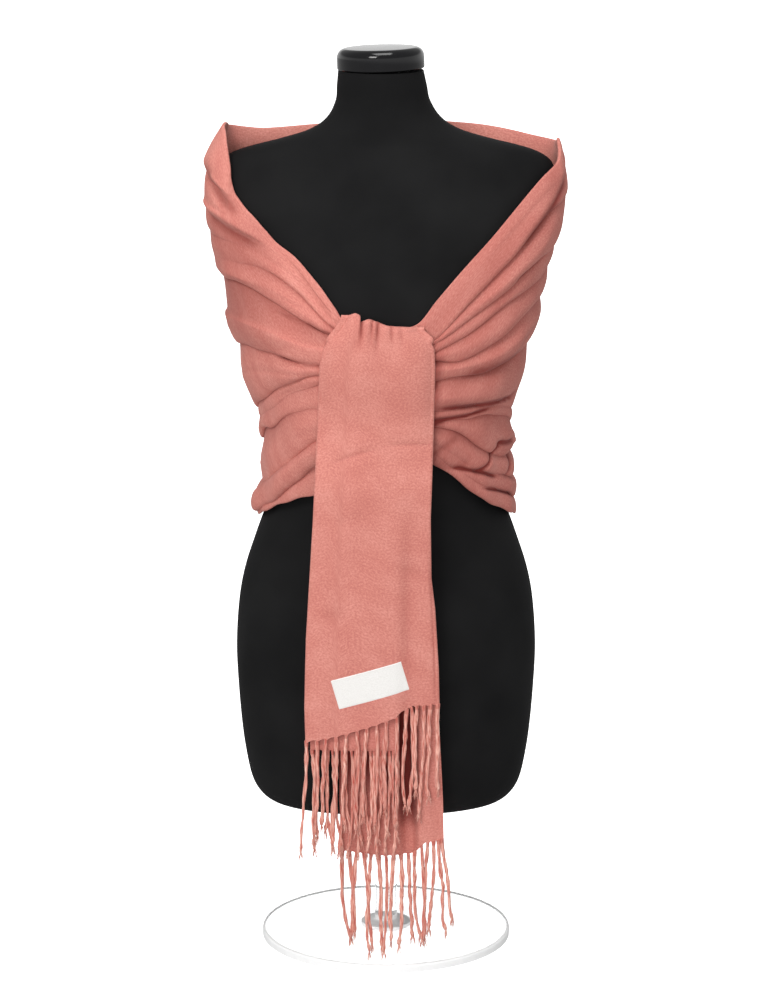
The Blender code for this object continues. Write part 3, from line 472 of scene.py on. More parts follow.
# Painted shade on the wrapped cloth, mixed into its colour where shade falls: how much, then
# the bearings and the heights in mm between which it comes in.  The rows darken the left arm,
# a band on the right arm and a strip beside the tail's left edge.
# An even darkening over all the wrapped cloth, and the most painted shade any point may take.
EVEN_WRAP_DARKENING, FULLEST_PAINTED_SHADE = 0.04, 0.92
PAINTED_WRAP_SHADE = (
    (0.21, ((252, 285),), ()),
    (0.26, ((112, 92), (30, 50)), ((670, 700), (830, 790))),
    (0.45, ((337, 341.5),), ((695, 660),)),
)
# Painted shadow in the narrow gap under the tail's left edge: how dark, the bearings, its height and reach.
TAIL_GAP_SHADE, TAIL_GAP_BEARINGS, TAIL_GAP_HEIGHT, TAIL_GAP_REACH = 0.8, (331, 339), 604 * MM, 4.5 * MM
# Painted shade at the bottom of the small creases: full where a crease is this deep, less on the right arm.
DEEPEST_CREASE, CREASE_SHADE, LESS_ON_RIGHT_ARM, RIGHT_ARM = 3 * MM, 0.8, 0.35, (120, 100)
# Smaller creases in the cloth, each placed one by one.
#   height out in mm (a trough is below 0), width above and below the line in mm, (bearing, height) ...
SMALL_CREASES = (
    (1.3, 5, 3, ((18, 716), (26, 726), (34, 734), (45, 745), (60, 752), (75, 754), (90, 753))),
    (2.6, 2.6, 4, ((34, 783), (43, 794), (49, 800), (57, 807), (66, 814), (75, 819), (84, 824), (94, 827))),
    (-2.8, 4, 8, ((40, 781), (48, 788), (55, 794), (63, 800), (72, 806), (86, 813))),
    (-4.0, 9, 8, ((50, 812), (60, 824), (67, 838), (74, 850), (88, 862))),
    (1.8, 3, 3, ((54, 829), (58, 837), (62, 842), (67, 848), (75, 857))),
    (0.9, 3, 1.6, ((12, 693), (17, 693), (30, 691), (45, 691), (60, 693), (75, 692), (90, 690))),
    (-1.6, 6, 4, ((14, 702), (18, 702), (24, 706), (30, 712))),
    (-1.2, 5, 3, ((14, 655), (30, 655), (60, 652), (75, 645), (92, 640))),
    (-1.4, 4, 3, ((8, 650), (17, 649), (30, 644), (45, 632), (60, 618))),
    (-1.0, 5, 4, ((28, 684), (45, 680), (62, 680), (80, 676))),
    (-1.1, 5, 4, ((10, 606), (22, 600), (36, 590), (50, 574))),
    (1.2, 6, 4, ((30, 826), (48, 800), (60, 816), (74, 832))),
    (-2.6, 7, 8, ((272, 852), (285, 838), (296, 818), (306, 796), (316, 772))),
    (-2.0, 3, 3, ((262, 884), (268, 879), (274, 869), (280, 860))),
    (1.2, 5, 4, ((290, 792), (304, 768), (318, 742), (332, 716))),
    (-1.1, 4, 3, ((276, 700), (288, 690), (300, 676))),
    (1.3, 4, 4, ((300, 628), (315, 628), (330, 629), (346, 630))),
    (-2.4, 5, 5, ((276, 562), (283, 553), (289, 540), (294, 530))),
    (-4.2, 3.2, 2.4, ((298, 532), (307, 537), (312, 541), (323, 548), (332, 552))),
    (-3.6, 2.8, 2.2, ((276, 502), (287, 509), (296, 515), (307, 521), (316, 525))),
    (-5.2, 3.6, 2.8, ((278, 619), (292, 618), (301, 618), (313, 619), (328, 619), (344, 620))),
    (-4.6, 3.0, 2.4, ((300, 613), (317, 610), (322, 608), (330, 607), (338, 606), (370, 602))),
    (-3.6, 3.5, 3, ((278, 565), (284, 567), (290, 568), (296, 570), (304, 571))),
    (1.8, 3, 3, ((276, 573), (283, 576), (291, 577), (299, 578), (306, 577))),
    (-2.2, 7, 8, ((288, 672), (297, 668), (308, 662), (320, 657), (332, 655))),
    (2.6, 4, 3, ((264, 570), (269, 566), (274, 564), (280, 566))),
    (-1.4, 5, 5, ((322, 588), (332, 580), (342, 566), (350, 560))),
    (-1.2, 6, 5, ((318, 560), (330, 552), (342, 560))),
    (-1.6, 6, 4, ((100, 866), (125, 838), (150, 826), (175, 824))),
    (1.5, 6, 4, ((130, 812), (155, 796), (185, 788), (215, 796))),
    (-1.5, 5, 4, ((96, 700), (120, 682), (148, 676), (170, 680))),
    (-1.4, 6, 4, ((190, 734), (215, 740), (240, 752), (258, 762))),
    (1.4, 5, 4, ((165, 640), (190, 636), (215, 634), (245, 636))),
    (-1.3, 5, 4, ((105, 582), (130, 578), (160, 580))),
    (-1.5, 6, 5, ((200, 700), (225, 690), (250, 688))),
    (-1.3, 6, 4, ((185, 520), (210, 522), (235, 518))),
    (-3.4, 2.6, 2.2, ((12, 664), (24, 665), (30, 666), (37, 668), (50, 673))),
    (-2.4, 2.4, 2.0, ((12, 694), (24, 703), (30, 708), (36, 714), (44, 721))),
    (-3.6, 3.0, 2.6, ((294, 573), (303, 562), (311, 549), (320, 543))),
    (-2.8, 3.0, 2.4, ((288, 772), (297, 764), (303, 757), (312, 746))),
)
RIPPLE = 0.35 * MM              # faint waves that cross everywhere, so that no stretch is quite smooth
TIE_LIFT = 5.0 * MM             # the upper band rises to the tail that it runs into
TIE_LIFT_BEARINGS, TIE_LIFT_HEIGHTS = (34, 12), (672 * MM, 704 * MM)
RIGHT_SEAM, LEFT_SEAM, RIGHT_END, LEFT_END = 97.0, 263.0, 6.0, 354.0
CLOTH_THICKNESS = 0.8 * MM
MM_PER_DEGREE = 2.7             # round the wrap, to turn a slope by bearing into one by length
PAINTED_SHADE_COLOUR = (0.19, 0.022, 0.018)     # the colour of the painted shade deep in folds, creases and gaps
TWILL_RIB, TWILL_ANGLE = 0.6 * MM, math.radians(52)
WAVE_SCALE = 0.314              # the scale of the wave texture at which one rib is one metre
CLOTH_PER_DEGREE = 2.6 * MM                  # for a pattern that runs on from piece to piece


def ease(value, start, end):
    """0 at start, 1 at end, smooth between; start may be the larger one."""
    t = np.clip((value - start) / (end - start), 0, 1)
    return t * t * (3 - 2 * t)


def girth(bearing, height):
    """The plain surface under the folds and its outward direction: a superellipse whose
    half axes change with height."""
    table = np.array(WRAP_GIRTH) * MM
    right, left, front, back = (through(table[:, 0], table[:, k], height) for k in range(1, 5))
    sine, cosine = np.sin(np.radians(bearing)), np.cos(np.radians(bearing))
    wide = np.where(sine > 0, right, left)
    deep = np.where(cosine > 0, front, back)
    x = -wide * np.sign(sine) * np.abs(sine) ** WRAP_ROUND
    y = -deep * np.sign(cosine) * np.abs(cosine) ** WRAP_ROUND
    outward = np.stack([-sine / wide, -cosine / deep, 0 * wide], -1)
    outward /= np.linalg.norm(outward, axis=-1, keepdims=True)
    return np.stack([x, y, height + 0 * x], -1), outward


def along(table, at):
    """The second column of a table in mm, read between its rows."""
    rows = np.array(table, float) * MM
    return np.interp(at, rows[:, 0], rows[:, 1])


def fold_lines(bearing):
    """Heights of the top edge and of each pushed-in line, top to bottom, with a slight
    wander that differs from line to line."""
    top = np.array(TOP_EDGE, float)
    lines = [through(top[:, 0], top[:, 1] * MM, bearing) - EDGE_ROLL]
    for number, parts in enumerate(FOLD_LINES.values()):
        line = through(FOLD_BEARINGS, np.concatenate([np.array(part, float) for part in parts]) * MM, bearing)
        wander = np.sin(np.radians(bearing * (7 + 1.3 * number)) + 2.1 * number) * LINE_WANDER
        lines.append(np.minimum(line + wander, lines[-1] - SMALLEST_FOLD))
    return np.array(lines)


def fold_sizes(bearing, lines):
    """How far each fold stands out, at most a share of its height, and how deep the line
    over each fold and under the last is cut, both at each bearing."""
    swells, creases = [], [np.full_like(bearing, TOP_EDGE_CREASE)]
    for number, (swell, crease) in enumerate(FOLD_SWELL.values()):
        wanted = np.clip(through(SWELL_BEARINGS, swell, bearing), 1, None) * MM
        wanted *= 1 + SWELL_WANDER * np.sin(np.radians(bearing * (5 + 0.9 * number)) + 1.3 * number)
        swells.append(np.minimum(wanted, STEEPEST_SWELL * (lines[number] - lines[number + 1])))
        creases.append(np.clip(through(SWELL_BEARINGS, crease, bearing), 0, 1))
    return swells, creases


def small_creases(bearing, height):
    """Sum of the listed creases: each is a bell across its line, with a width of its own
    above and below, measured square to the line, and fades out over the quarter at either end."""
    total = np.zeros_like(height)
    for amount, above, below, line in SMALL_CREASES:
        stations, levels = np.array(line, float).T
        off = height - through(stations, levels * MM, np.clip(bearing, stations[0], stations[-1]))
        slope = np.interp(bearing, stations, np.gradient(levels, stations)) / MM_PER_DEGREE
        across = off / np.sqrt(1 + slope**2) / (np.where(off > 0, above, below) * MM)
        share = (bearing - stations[0]) / (stations[-1] - stations[0])
        fade = ease(share, 0, 0.25) * ease(share, 1, 0.75)
        total += amount * MM * np.exp(-across**2) * fade
    return total


def painted_wrap_shade(bearing, height, crease_out):
    """How much painted shade the wrapped cloth gets: an even share, more where the table says,
    in the gap beside the tail, and at the bottom of the small creases, less so on the right arm."""
    depth = EVEN_WRAP_DARKENING + 0 * height
    for amount, bearings, heights in PAINTED_WRAP_SHADE:
        reach = [ease(bearing, *pair) for pair in bearings]
        reach += [ease(height, start * MM, end * MM) for start, end in heights]
        depth += amount * np.prod(reach, axis=0)
    gap = np.exp(-((height - TAIL_GAP_HEIGHT) / TAIL_GAP_REACH) ** 2)
    depth += TAIL_GAP_SHADE * ease(bearing, *TAIL_GAP_BEARINGS) * gap
    in_crease = np.clip(-crease_out / DEEPEST_CREASE, 0, 1) ** 1.5
    return depth + (CREASE_SHADE - LESS_ON_RIGHT_ARM * ease(bearing, *RIGHT_ARM)) * in_crease


def wrapped_cloth(bearing):
    """The folded cloth as (rows, columns, 3), and the painted shade of each point, 0 to 1, darkest along the
    pushed-in lines and in the small creases.

    Between two pushed-in lines a fold rises as a sine to its crest, or as a slope that ends
    in a short step up to a ridge.  Past the crest it goes down an ellipse that, under a full
    crease, curls back under itself as a lip.  The top edge is rolled over in a half circle
    and tucked down inside.
    """
    lines = fold_lines(bearing)
    swells, creases = fold_sizes(bearing, lines)
    floors = [(1 - creases[k]) * np.minimum(swells[max(k - 1, 0)], swells[min(k, len(swells) - 1)])
              for k in range(len(lines))]
    tuck = np.linspace(1, 0, EDGE_ROWS)[:, None]
    roll = np.radians(np.linspace(180, 0, EDGE_ROWS))[1:-1, None]
    heights = [lines[0] - along(EDGE_TUCK, bearing * MM) * tuck, lines[0] + EDGE_ROLL * np.sin(roll)]
    outs = [floors[0] - 2 * EDGE_ROLL + 0 * tuck, floors[0] - EDGE_ROLL + EDGE_ROLL * np.cos(roll)]
    shades = [0 * heights[0] - 0.1, 0 * heights[1] - 0.1]
    rise = ((1 - np.cos(math.pi * np.linspace(0, 1, CREST_ROWS))) / 2)[:-1, None]
    for number, (swell, (crest, hollow, ridge)) in enumerate(zip(swells, FOLD_SHAPE.values())):
        span = lines[number + 1] - lines[number]
        heights.append(lines[number] + span * crest * rise)
        ridged = ridge * ease(bearing, *RIDGE_BEARINGS)
        step = 0.62 * rise**hollow + 0.38 * ease(rise, 0.90, 1.0)
        climb = (1 - ridged) * np.sin(0.5 * math.pi * rise) ** hollow + ridged * step
        outs.append(floors[number] + (swell - floors[number]) * climb)
        # Painted shade: dark just under a cut line and in the hollow below it.
        cut_above = creases[number] if number else 0
        shades.append(cut_above * (0.25 * (1 - climb) ** 1.5 + 0.80 * np.exp(-rise / 0.07)))
        last_row = LIP_ROWS if number + 1 == len(swells) else LIP_ROWS - 1
        way = np.linspace(0, 1, LIP_ROWS)[:last_row, None]
        curl = np.radians(LIP_START + LIP_TURN * creases[number + 1] ** 0.7)
        drop = (1 - crest) / np.sin(curl)
        heights.append(lines[number] + span * (crest + drop * np.sin(curl * way)))
        outs.append(swell - (swell - floors[number + 1]) * (1 - np.cos(curl * way)) / (1 - np.cos(curl)))
        # Painted shade as the lip turns under into the next line.
        shades.append(creases[number + 1] * 0.85 * way**5)
    heights.append(lines[-1] + HEM_DROP * (1 - tuck[1:-1]))
    outs.append(floors[-1] - HEM_IN + 0 * tuck[1:-1])
    # Painted shade on the edge tucked up inside the bottom fold.
    shades.append(0.8 + 0 * heights[-1])

    height, out = np.concatenate(heights), np.concatenate(outs)
    turn = bearing + 0 * height
    crease_out = small_creases(turn, height)
    shade = painted_wrap_shade(turn, height, crease_out) + np.concatenate(shades)
    collar = np.clip((height - lines[0] + FLARE_REACH) / FLARE_REACH, 0, 1.2) ** 1.8
    flare = BACK_FLARE * collar * ease(turn, *FLARE_BEARINGS[0]) * ease(turn, *FLARE_BEARINGS[1])
    ripple = RIPPLE * np.sin(turn / 3.1 + height / (9 * MM)) * np.sin(turn / 7.3 - height / (31 * MM))
    near_tie = TIE_LIFT * ease(turn, *TIE_LIFT_BEARINGS) * ease(height, *TIE_LIFT_HEIGHTS)
    place, outward = girth(turn, height)
    out = out + crease_out + flare + ripple + near_tie
    return place + outward * out[..., None], np.clip(shade, 0, FULLEST_PAINTED_SHADE)


def along_surface(points):
    """UV in metres: u runs round the body or across a tail, v is the length down each column."""
    steps = np.linalg.norm(np.diff(points, axis=0), axis=-1)
    down = np.concatenate([np.zeros((1, points.shape[1])), np.cumsum(steps, axis=0)])
    middle = points[points.shape[0] // 2]
    over = np.concatenate([[0], np.cumsum(np.linalg.norm(np.diff(middle, axis=0), axis=-1))])
    return np.stack([over + 0 * down, down], -1)


def cloth_shell(name, points, uv, material, thickness=CLOTH_THICKNESS, outward=1, shade=None):
    """A closed thin shell: the grid itself, a second layer moved in along the grid's
    normals by the thickness, and a strip of quads along each of the four edges."""
    shade = np.zeros(points.shape[:2]) if shade is None else shade
    rows, columns = points.shape[:2]
    normal = np.cross(np.gradient(points, axis=0), np.gradient(points, axis=1)) * outward
    normal /= np.maximum(np.linalg.norm(normal, axis=-1, keepdims=True), 1e-12)
    inner = points - normal * thickness
    count = rows * columns
    outer_faces = grid_faces(rows, columns)
    if outward > 0:
        outer_faces = outer_faces[:, ::-1]
    numbers = np.arange(count).reshape(rows, columns)
    rim = np.concatenate([numbers[0, :-1], numbers[:-1, -1], numbers[-1, :0:-1], numbers[:0:-1, 0]])
    after = np.roll(rim, -1)
    rim_faces = np.stack([rim, after, after + count, rim + count], -1)
    if outward < 0:
        rim_faces = rim_faces[:, ::-1]
    faces = np.concatenate([outer_faces, outer_faces[:, ::-1] + count, rim_faces])
    return add_piece(name, np.concatenate([points, inner]).reshape(-1, 3), [faces], material,
                     np.concatenate([uv, uv]).reshape(-1, 2), sharp=75, shade=np.concatenate([shade, shade]))


def mapped(tree, where, scale=(1, 1, 1), turn=(0, 0, 0)):
    """A place turned by three angles, then stretched along each axis."""
    return node(tree, "ShaderNodeMapping",
                {"Vector": where, "Rotation": turn, "Scale": scale}).outputs["Vector"]


def mixed(tree, share, first, second):
    """The first colour where the share is 0, the second where it is 1."""
    return node(tree, "ShaderNodeMix", {0: share, 6: first, 7: second}, data_type="RGBA").outputs[2]


def pashmina_material(name, deep, middle, light):
    """Fine wool twill.  The dye takes unevenly from yarn to yarn, which gives a heather of
    flecks one or two yarns wide; the weave is a diagonal wave on the cloth's own UV."""
    material, tree, shader = plain_material(
        name, middle, 0.86, {"Specular IOR Level": 0.15, "Sheen Weight": 0.14, "Sheen Roughness": 0.4,
                             "Sheen Tint": (1.0, 0.74, 0.68, 1)})
    cloth = node(tree, "ShaderNodeUVMap", uv_map="along_cloth").outputs["UV"]
    heather = noise(tree, mapped(tree, cloth, (430, 520, 1)), 1.0, 2.0, 0.7)
    clouds = compute(tree, "MULTIPLY", noise(tree, mapped(tree, cloth, (26, 34, 1)), 1.0), 0.45)
    tone = compute(tree, "MULTIPLY", compute(tree, "ADD", heather, clouds), 0.69)
    dye = colour_ramp(tree, tone, ((0.36, deep), (0.5, middle), (0.64, light)))
    flecks = noise(tree, mapped(tree, cloth, (620, 760, 1)), 1.0, 1.0)
    dyed = mixed(tree, rescaled(tree, flecks, 0.6, 0.75, high=0.35), dye, (*light, 1))
    # Painted shade: the shade attribute darkens the dye in folds, creases and gaps.
    fold_shade = node(tree, "ShaderNodeAttribute", attribute_name="shade").outputs["Fac"]
    tree.links.new(mixed(tree, fold_shade, dyed, (*PAINTED_SHADE_COLOUR, 1)), shader.inputs["Base Color"])
    ribs = node(tree, "ShaderNodeTexWave", {"Vector": mapped(tree, cloth, turn=(0, 0, TWILL_ANGLE)),
                                            "Scale": WAVE_SCALE / TWILL_RIB, "Distortion": 0.6,
                                            "Detail": 1.0, "Detail Scale": 1.0}).outputs["Fac"]
    relief = compute(tree, "ADD", heather, compute(tree, "MULTIPLY", ribs, 0.35))
    add_bump(tree, shader, relief, 0.4, 0.3 * MM)
    return material


rose_cloth = pashmina_material("rose_twill", (0.555, 0.182, 0.150), (0.635, 0.234, 0.192),
                               (0.73, 0.315, 0.262))
# name, node, first and last bearing, columns, flat size in metres
for wrap_name, wrap_node, first, last, columns, cut in (
        ("wrapped_right", "wrap_right", RIGHT_END, RIGHT_SEAM, 132, (0.24, 0.40)),
        ("wrapped_back", "wrap_back", RIGHT_SEAM, LEFT_SEAM, 150, (0.44, 0.44)),
        ("wrapped_left", "wrap_left", LEFT_SEAM, LEFT_END, 132, (0.24, 0.38))):
    wrap_points, wrap_shade = wrapped_cloth(np.linspace(first, last, columns))
    wrap_uv = along_surface(wrap_points)
    wrap_uv[..., 0] += first * CLOTH_PER_DEGREE
    wrap_piece = cloth_shell(wrap_name, wrap_points, wrap_uv, rose_cloth, shade=wrap_shade)
    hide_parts(wrap_node)

# --------------------------------------------------------------- the front tail with its fringe
# The end that passes over the tie and falls in front: two layers of the twill folded
# lengthwise, side edges turned back, and its warp ends twisted in pairs into a fringe.

FRONT_TAIL_EDGES = (            # height, right edge, left edge in mm
    (255, -85, 57), (300, -86, 56), (342, -85, 55), (375, -84, 53), (407, -82, 51),
    (440, -80, 47), (505, -76, 46), (590, -72, 49), (633, -70, 50), (665, -69, 50.5),
    (684, -65, 49.5), (697, -57, 44), (707, -49, 33), (718, -42, 28),
)
FRONT_HEM = ((-86, 263), (-70, 265), (-49, 270), (-17, 280), (9, 289), (20, 298), (30, 303), (58, 304))
TIE_TOP = (
    (-46, 718), (-35, 722), (-28, 720), (-25, 711), (-22, 714), (-18, 716.5), (-8, 713), (2, 709), (31, 707),
)
FRONT_TAIL_TOP, FRONT_HEM_LEVEL = 718 * MM, 270 * MM      # its ends are as wide as it is here
TAIL_ROWS = ((0, 0.06, 14), (0.06, 0.86, 150), (0.86, 1, 60))     # shares of the way up, rows
TIE_ROLL_EDGE, TIE_ROLL, TIE_TURN_DOWN = 2.2 * MM, 5.0 * MM, 692 * MM
STAND_OFF, STAND_OFF_EDGE = 16.6 * MM, 9.6 * MM      # in front of the wrap: in the middle, at the sides
HANG_DEPTH, HANG_EDGE_DROP = 147.0 * MM, 4.0 * MM    # in front of the axis, where the tail hangs free
HANG_START, HANG_END, PLUMB_BELOW = 640 * MM, 530 * MM, 300 * MM
DENT_PLACE, DENT_WIDTH, DENT_DEPTH = 22 * MM, 8 * MM, 2.4 * MM      # a soft trough down the tail
CURL_START, CURL_FULL, CURL_RADIUS, CURL_STRIP = 590 * MM, 530 * MM, 2.8 * MM, 7.5 * MM
CURL_COLUMNS, WIDEST_CURL = 8, 3.2 * MM
MERGE_RADIUS, MERGE_START, MERGE_FULL = 34 * MM, 690 * MM, 704 * MM   # the upper corners run into the wrap
MERGE_SINK = 2.6 * MM
SCALLOP_DEPTH, SCALLOP_REACH, HEM_SMOOTH, ROOT_DROP = 2.6 * MM, 1.5 * MM, 3 * MM, 0.5 * MM
# Gathers under the tie: place across, height out, half width, and the heights between which
# they fade, all in mm.
TIE_GATHERS = (
    (-36, 2.2, 6.0, 716, 684), (-25, -5.0, 2.0, 716, 680), (-19.5, 1.8, 3.0, 716, 688),
    (-14.5, -2.6, 1.7, 714, 682), (-8.5, -3.2, 2.0, 713, 672), (-1, 1.2, 3.0, 710, 690),
    (5, -1.8, 2.2, 709, 680), (15, -1.2, 2.5, 708, 676), (-31, -1.6, 2.0, 716, 694),
)
# Creases across and down the tail: height out, half width, then two ends (x, height) in mm.
TAIL_CREASES = (
    (-1.1, 2.2, (-58, 564), (-10, 580)), (0.6, 7.0, (-62, 576), (-4, 593)), (0.5, 6.0, (-60, 552), (-6, 570)),
    (-1.0, 2.2, (-1, 584), (50, 583)), (0.6, 7.0, (-6, 596), (52, 595)), (0.4, 6.0, (0, 572), (50, 571)),
    (-0.5, 6.0, (-60, 500), (-20, 512)), (-0.5, 7.0, (0, 455), (40, 446)),
    (-1.6, 1.5, (44, 470), (53, 290)), (-0.5, 8.0, (-70, 400), (-40, 404)),
)
# Strands of a fringe: root x, end x, length, sideways bow, all in mm.
FRONT_STRANDS = (
    (-85, -93, 124, 1), (-74, -77, 108, 2), (-64, -68, 96, -2), (-53.5, -58, 122, 1.5), (-42, -46, 100, -1.5),
    (-31, -33, 112, 1.5), (-20.5, -25, 98, -1.5), (-10, -13, 114, 1.5), (0.5, -1, 96, -1.5),
    (11, 9, 118, 1.5), (22, 19, 104, -2), (27, 25, 112, 2.5), (33, 32, 92, -2), (40, 35, 124, 1),
    (47, 44, 100, -1), (55, 56, 96, -1),
)
STRAND_STEPS, PLY_SIDES, TWIST_OUT = 84, 8, 1.4 * MM
STRAND_RADIUS, KNOT_PLACE, KNOT_SIZE = 1.85, 0.955, 0.6 * MM
HAIRS, HAIR_STEPS, HAIR_SIDES, HAIR_FLOOR = 14, 6, 3, 12 * MM


def edges_at(table, z):
    """Right and left edge of a hanging piece at each height."""
    rows = np.array(table, float) * MM
    return np.interp(z, rows[:, 0], rows[:, 1]), np.interp(z, rows[:, 0], rows[:, 2])


def smooth_along(table, at, width):
    """A table in mm read between its rows and averaged over a short width, so that its
    corners are soft."""
    offsets = np.linspace(-1, 1, 7)
    weights = np.exp(-2 * offsets**2)
    parts = (weight * along(table, at + width * offset) for weight, offset in zip(weights, offsets))
    return sum(parts) / weights.sum()


def bell(distance, width):
    """1 at no distance, falling off on both sides as a bell of this half width."""
    return np.exp(-(distance / width) ** 2)


def girth_depth(x, z):
    """Distance from the axis to the plain front of the wrap at this x and height."""
    table = np.array(WRAP_GIRTH) * MM
    right, left, front = (through(table[:, 0], table[:, k], z) for k in range(1, 4))
    sine = np.clip(np.abs(x) / np.where(x < 0, right, left), 0, 0.98) ** (1 / WRAP_ROUND)
    return front * np.sqrt(1 - sine**2) ** WRAP_ROUND


def tail_face(x, z):
    """How far the front tail's plain face stands in front of the axis: above, the wrap's
    girth and a stand-off that drops near the edges; below, a straight fall with faint waves."""
    z = np.maximum(z, PLUMB_BELOW)
    right, left = edges_at(FRONT_TAIL_EDGES, z)
    sideways = np.abs(2 * np.clip((x - right) / (left - right), 0, 1) - 1)
    lying = girth_depth(x, z) + STAND_OFF + (STAND_OFF_EDGE - STAND_OFF) * sideways**6
    lying -= MERGE_SINK * ease(sideways, 0.55, 1.0) * ease(z, MERGE_START, MERGE_FULL)
    wave = 0.9 * MM * np.sin(x / (21 * MM) + z / (170 * MM))
    dent = DENT_DEPTH * bell(x - DENT_PLACE, DENT_WIDTH) * ease(z, 520 * MM, 430 * MM)
    hanging = HANG_DEPTH - HANG_EDGE_DROP * sideways**2.5 + wave - dent
    return lying + (hanging - lying) * ease(z, HANG_START, HANG_END)


def tail_relief(x, z):
    """Fine relief on that face: bells for the gathers, which widen and fade downwards, and
    bells about slightly bowed lines for the creases, which fade towards both ends."""
    total = 0.25 * MM * np.sin(x / (13 * MM) - z / (41 * MM)) * np.sin(z / (67 * MM) + 1)
    for place, amount, width, high, low in TIE_GATHERS:
        below = high * MM - z
        lean = below * 0.08 * np.sign(place + 6)
        spread = (1 + below / (45 * MM)).clip(1, 3)
        total += amount * MM * bell(x - place * MM - lean, width * MM * spread) * ease(z, low * MM, high * MM)
    for amount, width, start, end in TAIL_CREASES:
        start, end = np.array(start) * MM, np.array(end) * MM
        way = end - start
        share = ((x - start[0]) * way[0] + (z - start[1]) * way[1]) / (way @ way)
        off = ((x - start[0]) * way[1] - (z - start[1]) * way[0]) / math.hypot(*way)
        bow = 1.2 * MM * np.sin(math.pi * np.clip(share, 0, 1))
        total += amount * MM * bell(off + bow, width * MM) * ease(share, -0.1, 0.3) * ease(share, 1.1, 0.7)
    return total


def tail_shade(points):
    """Painted shade on the tail: dark in its creases, by how far the relief sinks below the plain face, and a
    little down the soft trough.
    """
    x, z = points[..., 0], points[..., 2]
    in_dent = 0.16 * bell(x - DENT_PLACE, DENT_WIDTH) * ease(z, 560 * MM, 430 * MM)
    in_crease = np.clip(-tail_relief(x, z) / (2.6 * MM), 0, 1) ** 1.3
    return np.clip(0.62 * in_crease + in_dent, 0, 0.9)


def hem_scallops(x, roots):
    """The hem is drawn down to a point at each strand's root and arches between them."""
    away = np.min(np.abs(x[..., None] - roots), axis=-1)
    return -SCALLOP_DEPTH * np.exp(-away / SCALLOP_REACH)


def front_tail_surface(columns, roots):
    """The front tail from its hem up, over the tie and down behind it, as (rows, columns, 3).
    Across, a flat middle and at either side an edge that turns back round a small radius."""
    fold = np.linspace(1, 0, CURL_COLUMNS + 1)[:-1]
    strip = np.concatenate([fold, np.zeros(columns), fold[::-1]])
    side = np.concatenate([-np.ones(CURL_COLUMNS), np.zeros(columns), np.ones(CURL_COLUMNS)])
    share = np.concatenate([np.zeros(CURL_COLUMNS), np.linspace(0, 1, columns), np.ones(CURL_COLUMNS)])
    right_top, left_top = edges_at(FRONT_TAIL_EDGES, FRONT_TAIL_TOP)
    right_hem, left_hem = edges_at(FRONT_TAIL_EDGES, FRONT_HEM_LEVEL)
    roll = TIE_ROLL_EDGE + (TIE_ROLL - TIE_ROLL_EDGE) * np.minimum(1, 6.4 * share * (1 - share))
    top = smooth_along(TIE_TOP, right_top + (left_top - right_top) * share, HEM_SMOOTH / 2) - roll
    hem_x = right_hem + (left_hem - right_hem) * share
    hem = smooth_along(FRONT_HEM, hem_x, HEM_SMOOTH) + hem_scallops(hem_x, roots)
    climb = np.unique(np.concatenate([np.linspace(*stretch) for stretch in TAIL_ROWS]))[:, None]
    z = hem + (top - hem) * climb
    right, left = edges_at(FRONT_TAIL_EDGES, z)
    curled = ease(z, CURL_START, CURL_FULL)
    tangent = np.minimum(CURL_RADIUS / (0.45 + 0.55 * curled) * (1 - 0.35 * curled), WIDEST_CURL)
    x = right + tangent + (left - right - 2 * tangent) * share
    depth = tail_face(x, z) + tail_relief(x, z)
    bend = tangent + (MERGE_RADIUS - tangent) * ease(z, MERGE_START, MERGE_FULL)
    turn = np.minimum(strip * CURL_STRIP / bend, math.pi * 0.98)
    past = np.maximum(strip * CURL_STRIP - turn * bend, 0)
    x = x + side * (bend * np.sin(turn) - past)
    depth = depth - bend * (1 - np.cos(turn))
    body = np.stack([x, -depth, z + 0 * x], -1)
    over = np.radians(np.linspace(0, 180, 17))[1:, None]
    x, face = body[-1, :, 0] + 0 * over, -body[-1, :, 1]
    arch = np.stack([x, -(face - roll + roll * np.cos(over)), top + roll * np.sin(over)], -1)
    down = np.linspace(0, 1, 8)[1:, None]
    back = np.stack([x[:1] + 0 * down, arch[-1, :, 1] + 0 * down, top + (TIE_TURN_DOWN - top) * down], -1)
    return np.concatenate([body, arch, back])[::-1]


def strand_paths(rows, root_heights, behind):
    """Middle lines (strands, steps, 3): each strand falls from its root, drifts towards its
    end's x and bows to one side.  Two waves, a slow and a quick one, make it waver more
    towards its end, each with a phase and size that differ from strand to strand."""
    table = np.array(rows, float) * MM
    t = np.linspace(0, 1, STRAND_STEPS)[None]
    number = np.arange(len(table))[:, None]
    root_x, end_x, length, bow = (table[:, k:k + 1] for k in range(4))
    slow = ((0.9 + 0.6 * np.sin(5.1 * number)) * t**0.8
            * np.sin((8 + 3 * np.sin(1.9 * number)) * t + 2.4 * number))
    quick = ((0.4 + 0.3 * np.sin(3.7 * number)) * t**0.7
             * np.sin((21 + 6 * np.sin(2.3 * number)) * t + 4.1 * number))
    x = root_x + (end_x - root_x) * t**1.4 + bow * np.sin(math.pi * t) + (slow + quick) * MM
    z = root_heights[:, None] - length * t * (1 - 0.02 * np.sin(3 * number))
    depth = np.reshape(behind, (-1, 1)) - tail_face(root_x, PLUMB_BELOW + 0 * root_x) + TWIST_OUT
    y = depth + (1.3 * np.sin(5 * t + 1.7 * number) + 0.6 * np.sin(13 * t + 0.9 * number)) * t * MM
    return np.stack([x, y + 0 * z, z], -1)


